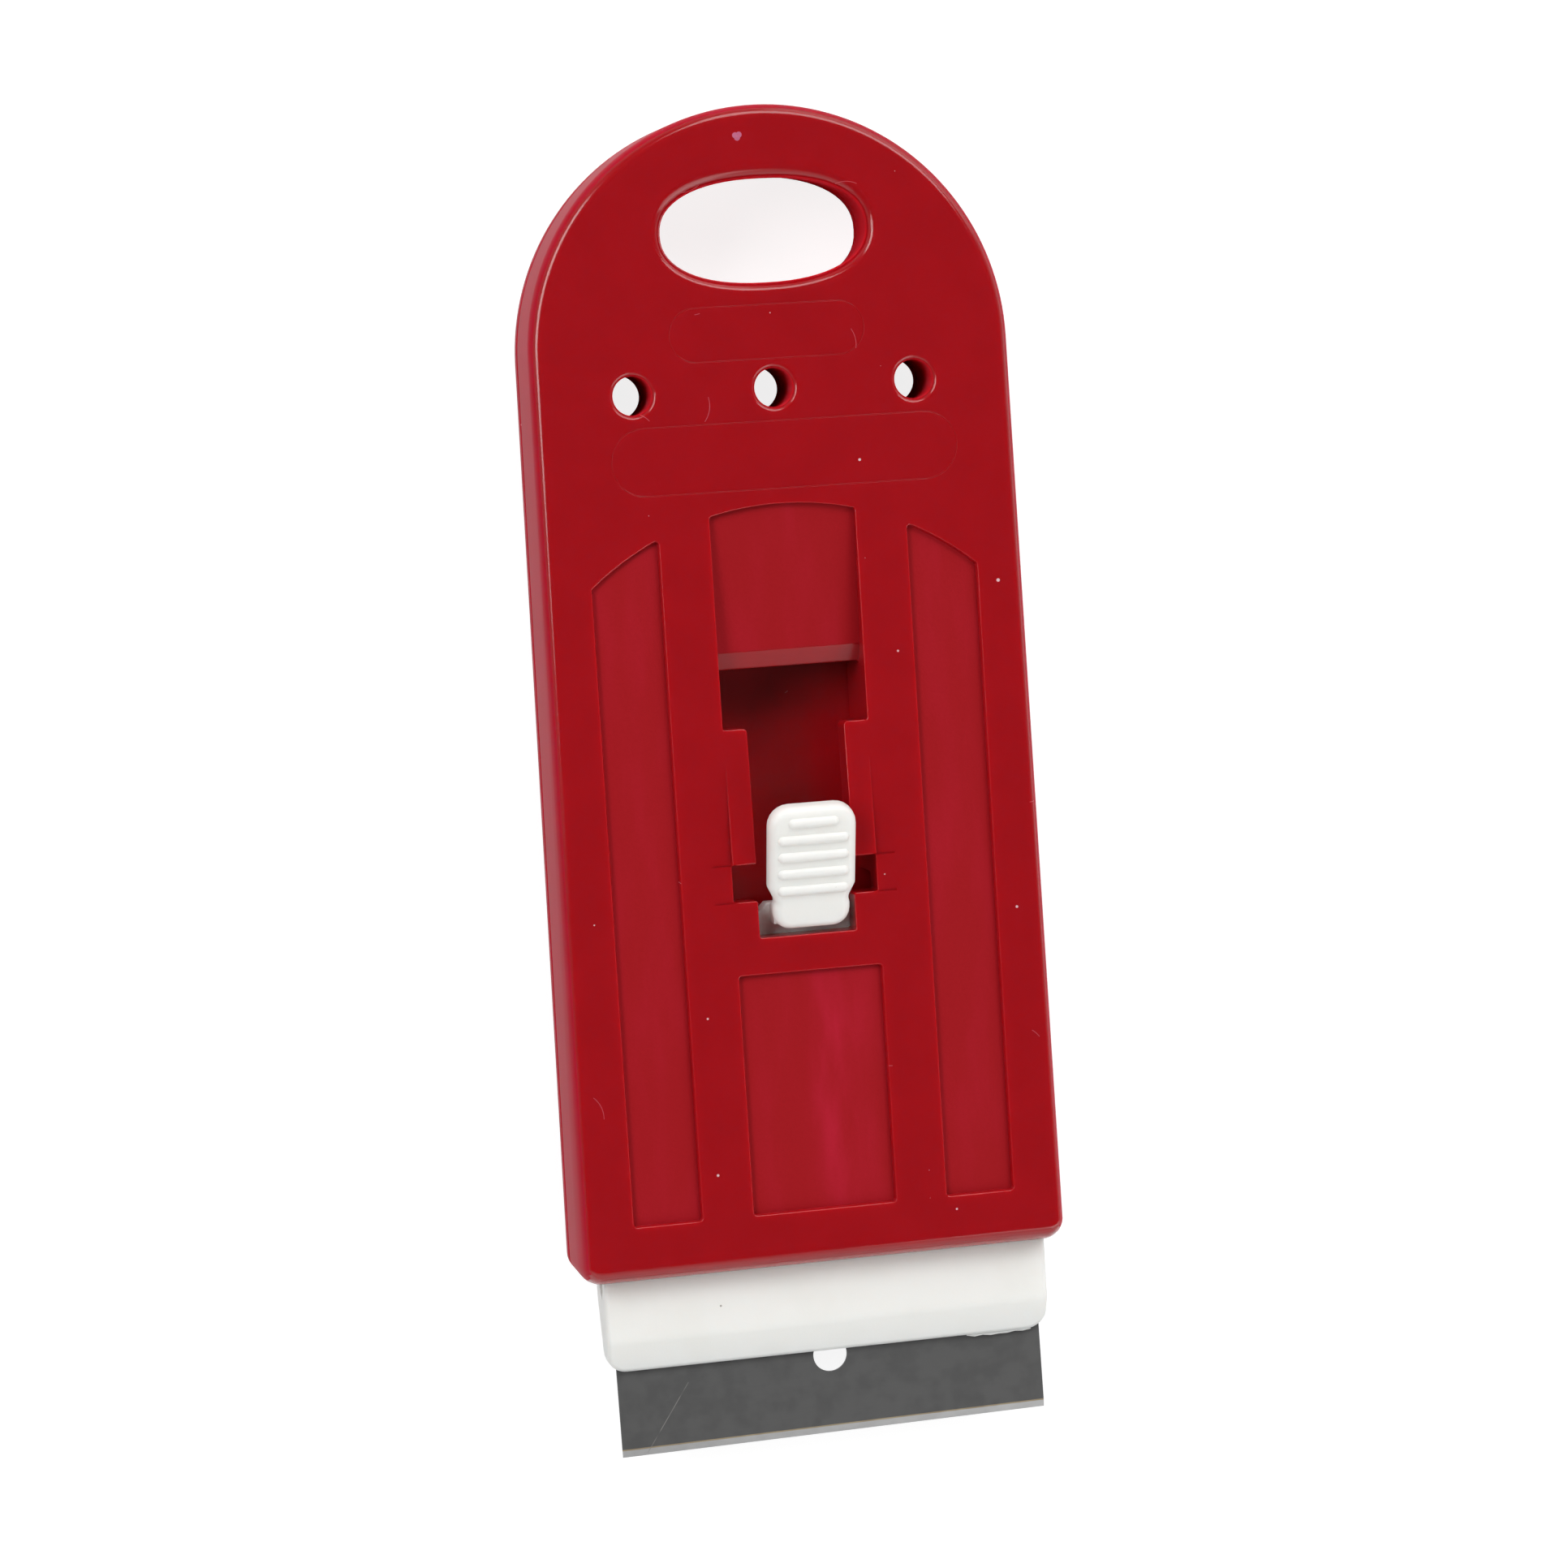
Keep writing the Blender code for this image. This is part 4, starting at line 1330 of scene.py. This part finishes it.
@dataclass
class RearShell(Shell):
    """Rear half of the handle: a shallow tray with the same outline and holes."""

    rear_edge: float = 0.0009
    panel_depth: float = 0.0004

    def finish_of(self, middle: Vector, normal: Vector) -> int:
        """Satin on the floors of the rear panels, then walls and bores, gloss elsewhere."""
        floor = abs(middle.z - self.panel_depth) < WELD and normal.z < 0
        return Surface.PANEL if floor else self.wall_of(middle, normal)

    def build(self, finishes: Sequence[Material]) -> Thing:
        """Build and dress the rear shell.

        Args:
            finishes: Its finishes in the order of Surface.

        Returns:
            The piece.
        """
        body = even_slab("rear_shell_moulding", self.outline(), (0.0, HANDLE.rear_high_z), self.rear_edge,
                         self.parting_edge)
        tray = block("tray", self.hollow(), HANDLE.floor_z, HANDLE.rear_high_z + OVERRUN)
        thing = Solid(body).cut(tray, *self.panels(self.panel_depth, 0.0), *self.holes()).settle()
        finish_faces(thing, finishes, self.finish_of)
        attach(thing, "handle")
        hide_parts("rear_shell")
        return thing


@dataclass
class Carrier:
    """White plate that slides in the handle, bevelled to two lips round the blade."""

    half_width: float = 0.0202
    reach: float = 0.00855
    length: float = 0.0215
    low_z: float = 0.0019
    high_z: float = 0.0066
    corner: float = 0.0018
    edge: float = 0.0004
    front_bevel: float = 0.00305
    rear_bevel: float = 0.0065
    lip: float = 0.0003
    mouth: float = 0.000415
    blade_z: float = 0.00455
    crease: float = 0.0004
    crease_cuts: int = 5
    play: float = 0.0004
    slit_height: float = 0.0014
    slit_length: float = 0.0020
    pocket_half_width: float = 0.01985
    pocket_depth: float = 0.01135
    seat_half_width: float = 0.0045
    seat_depth: float = 0.0058
    seat_height: float = 0.0021
    flash_start: float = 0.0128
    flash_length: float = 0.0060
    flash_reach: float = 0.00022
    flash_thickness: float = 0.00008
    flash_waves: Tuple[float, ...] = (0.2, 0.9, 0.5, 1.0, 0.7, 0.8, 0.3, 0.6, 0.2)
    tip_y: float = HANDLE.nose_y - reach
    top_y: float = tip_y + length

    def bevel(self, y: float, length: float, fall: float) -> float:
        """How far a face has dropped at a place, with a soft crease where the bevel starts.

        Args:
            y: The place.
            length: Length of the bevel.
            fall: Its full drop at the tip.

        Returns:
            The drop there.
        """
        inward, soft = self.tip_y + length - y, self.crease
        if inward < -soft:
            return 0.0
        rise = inward if inward > soft else (inward + soft) ** 2 / (4 * soft)
        return rise * fall / length

    def bevelled(self, place: Vector) -> float:
        """Height of a vertex of the plate once both its faces are bevelled.

        Args:
            place: Where the vertex is.

        Returns:
            Its new height.
        """
        if place.z > (self.low_z + self.high_z) / 2:
            fall = self.high_z - self.blade_z - self.mouth - self.lip
            return place.z - self.bevel(place.y, self.front_bevel, fall)
        fall = self.blade_z - self.mouth - self.lip - self.low_z
        return place.z + self.bevel(place.y, self.rear_bevel, fall)

    def shape(self) -> Thing:
        """The bevelled plate before its pocket is cut."""
        half, corner, soft = self.half_width, self.corner, self.crease
        tip = arc((half - corner, self.tip_y + corner), corner, -QUARTER, 0, Steps.BEND)
        plate = even_slab("blade_carrier_moulding", mirrored(tip + [(half, self.top_y)]),
                          (self.low_z, self.high_z), self.edge, self.edge)
        reshape(plate, [self.tip_y + length - soft + 2 * soft * step / (self.crease_cuts - 1)
                        for length in (self.front_bevel, self.rear_bevel)
                        for step in range(self.crease_cuts)], self.bevelled)
        return plate

    def flash(self) -> Thing:
        """The ragged flash that the mould left along a stretch of the front lip."""
        steps = len(self.flash_waves) - 1
        low_z, back_y = self.blade_z + self.mouth, self.tip_y + self.lip
        outer = [(self.flash_start + self.flash_length * step / steps, self.tip_y - self.flash_reach * wave)
                 for step, wave in enumerate(self.flash_waves)]
        inner = [(outer[-1][0], back_y), (outer[0][0], back_y)]
        return block("flash", outer + inner, low_z, low_z + self.flash_thickness)

    def cutters(self) -> List[Thing]:
        """Cutters for the blade's pocket, the latch arm's seat and the slits at both sides."""
        middle, half = self.blade_z, self.slit_height / 2
        pocket = oblong(self.tip_y - OVERRUN, self.tip_y + self.pocket_depth, middle - self.mouth,
                        middle + self.mouth)
        seat = oblong(-self.seat_half_width, self.seat_half_width, self.top_y - self.seat_depth,
                      self.top_y + OVERRUN)
        nose, length = HANDLE.nose_y, self.slit_length
        inner, shoulder, tip = nose + length, nose - length / 2, nose - length
        slit = [(inner, middle - half), (shoulder, middle - half), (tip, middle), (shoulder, middle + half),
                (inner, middle + half)]
        return [bar("pocket", pocket, self.pocket_half_width),
                block("seat", seat, self.high_z - self.seat_height, self.high_z + OVERRUN),
                *(bar("slit", slit, OVERLAP * 2, side * self.half_width) for side in (-1, 1))]

    def build(self, finish: Material) -> Thing:
        """Build and dress the carrier.

        Args:
            finish: White plastic.

        Returns:
            The piece.
        """
        thing = Solid(self.shape()).cut(*self.cutters()).join(self.flash()).settle()
        thing.data.transform(Matrix.Translation((self.play, 0, 0)))
        finish_faces(thing, (finish,))
        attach(thing, "carrier")
        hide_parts("blade_carrier")
        return thing


@dataclass
class Latch:
    """Spring arm with two wings, and the tilted thumb pad with its grip ridges."""

    play: float = 0.0004
    sharp: float = math.radians(50)
    arm_half_width: float = 0.0042
    arm_low_z: float = 0.0048
    arm_high_z: float = 0.0066
    arm_root_y: float = -0.035514
    arm_tip_y: float = -0.010514
    arm_edge: float = 0.00015
    tip_half_width: float = 0.0034
    wing_half_width: float = 0.0061
    wing_side: float = 0.0013
    wing_rake: float = 0.00015
    wing_chamfer: float = 0.0026
    neck_half_width: float = 0.0032
    neck_length: float = 0.0017
    pad_half_width: float = 0.00392
    pad_length: float = 0.0116
    pad_thickness: float = 0.0020
    pad_tilt: float = math.radians(18.3)
    pad_end_y: float = -0.012864
    pad_corner: float = 0.0019
    pad_edge: float = 0.00075
    waist_half_width: float = 0.0033
    waist_y: float = 0.0027
    waist_taper: float = 0.0013
    foot_half_width: float = 0.00345
    foot_length: float = 0.0021
    foot_corner: float = 0.0016
    ridge_count: int = 5
    ridge_pitch: float = 0.0016
    ridge_radius: float = 0.0005
    ridge_sink: float = 0.00017
    ridge_half_length: float = 0.00322
    top_ridge_half_length: float = 0.0023
    ridge_from_top: float = 0.00135

    def arm(self) -> Thing:
        """The flat spring arm with its two wings."""
        wing_y = self.arm_tip_y - self.wing_chamfer
        shoulder_y = wing_y - self.wing_side
        right = [(self.arm_half_width, self.arm_root_y), (self.arm_half_width, shoulder_y + self.wing_rake),
                 (self.wing_half_width, shoulder_y), (self.wing_half_width, wing_y),
                 (self.tip_half_width, self.arm_tip_y)]
        return even_slab("thumb_latch_moulding", mirrored(right), (self.arm_low_z, self.arm_high_z),
                         self.arm_edge, self.arm_edge)

    def pad(self) -> Thing:
        """The thumb pad in its own plane: foot, waist, sides and rounded top."""
        soft = self.foot_corner / 2
        right = [(self.foot_half_width, 0.0, self.foot_corner),
                 (self.foot_half_width, self.foot_length, soft),
                 (self.waist_half_width, self.waist_y, soft),
                 (self.pad_half_width, self.waist_y + self.waist_taper, soft),
                 (self.pad_half_width, self.pad_length, self.pad_corner)]
        return even_slab("pad", rounded(mirrored(right)), (-self.pad_thickness, 0.0), self.pad_edge,
                         self.pad_edge)

    def ridge(self, index: int) -> Thing:
        """One grip ridge, a round-ended bar across the pad.

        Args:
            index: Its place, counted from the top.

        Returns:
            The ridge in the pad's own plane.
        """
        half_length = self.ridge_half_length if index else self.top_ridge_half_length
        reach, radius = half_length - self.ridge_radius, self.ridge_radius
        middle = (self.pad_length - self.ridge_from_top - index * self.ridge_pitch, -self.ridge_sink)
        turns = [QUARTER * (step + 1) / (Steps.CORNER + 1) for step in range(Steps.CORNER)]
        ends = [(reach + radius * math.cos(a), radius * math.sin(a)) for a in turns] + [(reach, radius)]
        row = [(-across, size) for across, size in ends] + ends[::-1]
        return lofted("ridge", [[(across, y, z) for y, z in oval(middle, (size, size), Steps.LINE)]
                                for across, size in row])

    def build(self, finish: Material) -> Thing:
        """Build and dress the latch.

        Args:
            finish: White plastic.

        Returns:
            The piece.
        """
        place = Matrix.Translation((0, self.pad_end_y, HANDLE.face_z))
        pieces = [self.pad()] + [self.ridge(index) for index in range(self.ridge_count)]
        for piece in pieces:
            piece.data.transform(place @ Matrix.Rotation(self.pad_tilt, 4, "X"))
        neck_y = self.pad_end_y + self.pad_thickness * math.sin(self.pad_tilt)
        neck = block("neck", oblong(-self.neck_half_width, self.neck_half_width, neck_y,
                                    neck_y + self.neck_length),
                     (self.arm_low_z + self.arm_high_z) / 2, HANDLE.face_z - self.pad_thickness / 2)
        thing = Solid(self.arm()).join(neck, *pieces).settle(self.sharp)
        thing.data.transform(Matrix.Translation((self.play, 0, 0)))
        finish_faces(thing, (finish,))
        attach(thing, "latch")
        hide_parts("latch_arm")
        return thing


@dataclass
class Blade:
    """Single-edge razor blade: dark sheet with a hole, side notches and a honed edge."""

    width: float = 0.0390
    height: float = 0.0190
    thickness: float = 0.00023
    reach: float = 0.01615
    z: float = 0.00455
    skew: float = math.radians(0.65)
    sharp: float = math.radians(5)
    middle_x: float = 0.00055
    land: float = 0.0006
    burnish: float = 0.00012
    edge_thickness: float = 0.00004
    back_room: float = 0.00041
    hole_radius: float = 0.00155
    hole_to_edge: float = 0.00713
    notch_radius: float = 0.0013
    notch_to_edge: float = 0.0128
    edge_y: float = -height / 2

    def honed(self, place: Vector) -> float:
        """Height of a vertex of the sheet once its edge is thinned."""
        thinned = place.y < self.edge_y + self.land / 2
        return place.z * (self.edge_thickness / self.thickness) if thinned else place.z

    def finish_of(self, middle: Vector, normal: Vector) -> int:
        """Pick the honed land, the thin line above it, or the sheet."""
        from_edge = middle.y - self.edge_y
        return 1 if from_edge < self.land else 2 if from_edge < self.land + self.burnish else 0

    def build(self, finishes: Sequence[Material]) -> Thing:
        """Build and dress the blade about its own middle, then lay it in its pocket.

        Args:
            finishes: Finish of the sheet, of its honed land and of the thin line above that.

        Returns:
            The piece.
        """
        half, edge_y = self.width / 2, self.edge_y
        notch = arc((half, edge_y + self.notch_to_edge), self.notch_radius, -QUARTER, -3 * QUARTER,
                    Steps.BEND)
        outline = mirrored([(half, edge_y)] + notch + [(half, self.height / 2 - self.back_room)])
        blade = block("razor_blade_sheet", outline, -self.thickness / 2, self.thickness / 2)
        reshape(blade, (edge_y + self.land, edge_y + self.land + self.burnish), self.honed)
        hole = oval((0, edge_y + self.hole_to_edge), (self.hole_radius, self.hole_radius))
        thing = Solid(blade).cut(block("hole", hole, -OVERRUN, OVERRUN)).settle(self.sharp)
        finish_faces(thing, finishes, self.finish_of)
        place = Vector((self.middle_x, HANDLE.nose_y - self.reach + self.height / 2, self.z))
        thing.data.transform(Matrix.Translation(place) @ Matrix.Rotation(self.skew, 4, "Z"))
        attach(thing, "carrier")
        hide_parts("razor_blade")
        return thing


@dataclass(frozen=True)
class Softbox:
    """One lamp: its turn and elevation round the scraper in degrees, its size and its power."""

    turn: float
    elevation: float
    width: float
    height: float
    power: float


@dataclass
class Studio:
    """Camera, floor, lamps and surroundings."""

    camera_place: Place = (-0.07569, 0.0321, 0.37086)
    camera_back: Place = (-0.2007, 0.0863, 0.9758)
    camera_up: Place = (0.0788, 0.9943, -0.0717)
    lens: float = 96.894
    sensor: float = 36.0
    floor_half: float = 1.5
    floor_z: float = -0.0002
    floor_colour: Colour = (0.32, 0.32, 0.32)
    floor_roughness: float = 0.9
    floor_lift: float = 0.84
    horizon: float = 0.65
    zenith: float = 0.07
    horizon_span: Point = (0.12, 0.62)
    lamp_distance: float = 1.2
    softboxes: Tuple[Softbox, ...] = (
        Softbox(153.0, 42.0, 0.93, 0.42, 8.6),
        Softbox(62.0, 42.0, 1.05, 0.46, 7.4),
        Softbox(50.0, 17.0, 1.12, 0.40, 2.0),
        Softbox(316.0, 34.0, 0.90, 0.72, 4.2),
        Softbox(283.0, 25.0, 2.20, 0.80, 3.6),
    )

    def set_camera(self) -> None:
        """Stand the camera where the photograph was taken from."""
        data = bpy.data.cameras.new("camera")
        data.lens = self.lens
        data.sensor_width = self.sensor
        camera = bpy.data.objects.new("camera", data)
        back = Vector(self.camera_back).normalized()
        right = Vector(self.camera_up).cross(back).normalized()
        turn = Matrix((right, back.cross(right), back)).transposed().to_4x4()
        camera.matrix_world = Matrix.Translation(self.camera_place) @ turn
        bpy.context.scene.collection.objects.link(camera)
        bpy.context.scene.camera = camera

    def lay_floor(self) -> None:
        """Lay the pale floor that the scraper rests on, lifted to white where it is seen."""
        finish, graph, shader = new_material("pale_floor")
        rays = graph.add("LightPath").outputs
        seen = graph.math("MAXIMUM", rays["Is Camera Ray"], rays["Is Glossy Ray"])
        seen = graph.math("MAXIMUM", seen, rays["Is Transmission Ray"])
        graph.fill(shader, {
            "Base Color": (*self.floor_colour, 1.0), "Roughness": self.floor_roughness,
            "Specular IOR Level": 0.0, "Emission Color": WHITE,
            "Emission Strength": graph.math("MULTIPLY", seen, self.floor_lift),
        })
        half = self.floor_half
        floor = block("floor", oblong(-half, half, -half, half), self.floor_z - OVERRUN, self.floor_z)
        floor.data.materials.append(finish)

    def surround(self) -> None:
        """Set a world that darkens overhead and looks white to the camera."""
        world = bpy.data.worlds.new("surround")
        bpy.context.scene.world = world
        world.use_nodes = True
        graph = Graph(world.node_tree)
        height = graph.axes(graph.add("TexCoord").outputs["Generated"])["Z"]
        level = graph.math("MULTIPLY_ADD", graph.ramp(height, self.horizon_span), self.zenith - self.horizon,
                           self.horizon)
        level = graph.math("MAXIMUM", level, graph.add("LightPath").outputs["Is Camera Ray"])
        graph.fill(world.node_tree.nodes["Background"], {"Color": WHITE, "Strength": level})

    def hang_lamps(self) -> None:
        """Hang the softboxes round the scraper."""
        for box in self.softboxes:
            turn, rise = math.radians(box.turn), math.radians(box.elevation)
            away = Vector((math.cos(turn) * math.cos(rise), math.sin(turn) * math.cos(rise), math.sin(rise)))
            data = bpy.data.lights.new("softbox", "AREA")
            data.shape = "RECTANGLE"
            data.size = box.width
            data.size_y = box.height
            data.energy = box.power
            lamp = bpy.data.objects.new("softbox", data)
            aim = away.to_track_quat("Z", "Y").to_matrix().to_4x4()
            lamp.matrix_world = Matrix.Translation(away * self.lamp_distance) @ aim
            bpy.context.scene.collection.objects.link(lamp)

    def build(self) -> None:
        """Set up the whole studio."""
        self.set_camera()
        self.lay_floor()
        self.surround()
        self.hang_lamps()
        bpy.context.scene.view_settings.view_transform = "Standard"


def dress_blade_back(finish: Material) -> Thing:
    """Give the blade's folded back, a CAD node that keeps its shape, its steel finish.

    Args:
        finish: Its steel.

    Returns:
        The CAD node's object.
    """
    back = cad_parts["blade_back"]
    for entry in back.material_slots:
        entry.material = finish
    return back


def main() -> None:
    """Build the studio and every piece, and report each of them."""
    logging.basicConfig(level=logging.INFO, format="%(name)s: %(message)s")
    Studio().build()
    effects = Effects()
    gloss = GlossyRed().make(effects)
    satin = SatinRed().make(effects)
    # Painted light: the rear shell takes a lighter red than the front, so that its shaded inside seen through
    # the window comes out brighter.
    rear_gloss_painted_light = GlossyRed(name="glossy_red_rear_plastic_painted_light", colour=(0.420, 0.0053, 0.0108),
                           deep=(0.390, 0.0050, 0.0100), roughness=0.26, dust_share=0.03).make(effects)
    # Painted reflection: the side walls keep the plastic's red, made lighter and bluer to stand in for the
    # floor's reflection, with their own gloss turned low.
    wall = GlossyRed(name="red_side_wall_painted_sheen", colour=(0.420, 0.0060, 0.0240), deep=(0.400, 0.0055, 0.0200),
                     roughness=0.45, specular=0.06, dust_share=0.0, scuff_share=0.0).make(effects)
    # Painted light: the bores take a far lighter red than the face, standing in for the light that the
    # translucent plastic lets into their shade.
    bore = GlossyRed(name="red_bore_wall_painted_light", colour=(0.560, 0.0140, 0.0240), deep=(0.500, 0.0110, 0.0190),
                     roughness=0.55, specular=0.0, dust_share=0.0, scuff_share=0.0).make(effects)
    # Painted highlight: the gate pit takes a pale mauve that stands in for the light its walls catch.
    mark = GlossyRed(name="gate_pit_painted_highlight", colour=(0.52, 0.14, 0.25), deep=(0.42, 0.06, 0.12),
                     roughness=0.5).make(effects)
    white = WhitePlastic().make(effects)
    sheet = Steel().make(effects)
    honed = Steel(name="honed_steel", colour=(0.54, 0.54, 0.54), worn=(0.47, 0.47, 0.47), metallic=0.6,
                  roughness=0.35).make(effects)
    burnt = Steel(name="burnished_line", colour=(0.40, 0.33, 0.22), worn=(0.28, 0.21, 0.14)).make(effects)
    folded = Steel(name="folded_steel", colour=(0.35, 0.35, 0.35), worn=(0.28, 0.28, 0.28),
                   metallic=0.8).make(effects)
    pieces = [
        FrontShell().build((gloss, satin, wall, bore, mark)),
        RearShell().build((rear_gloss_painted_light, satin, wall, bore)),
        Carrier().build(white),
        Latch().build(white),
        Blade().build((sheet, honed, burnt)),
        dress_blade_back(folded),
    ]
    for piece in pieces:
        log.info("%s: %d faces", piece.name, len(piece.data.polygons))


if __name__ == "__main__":
    main()
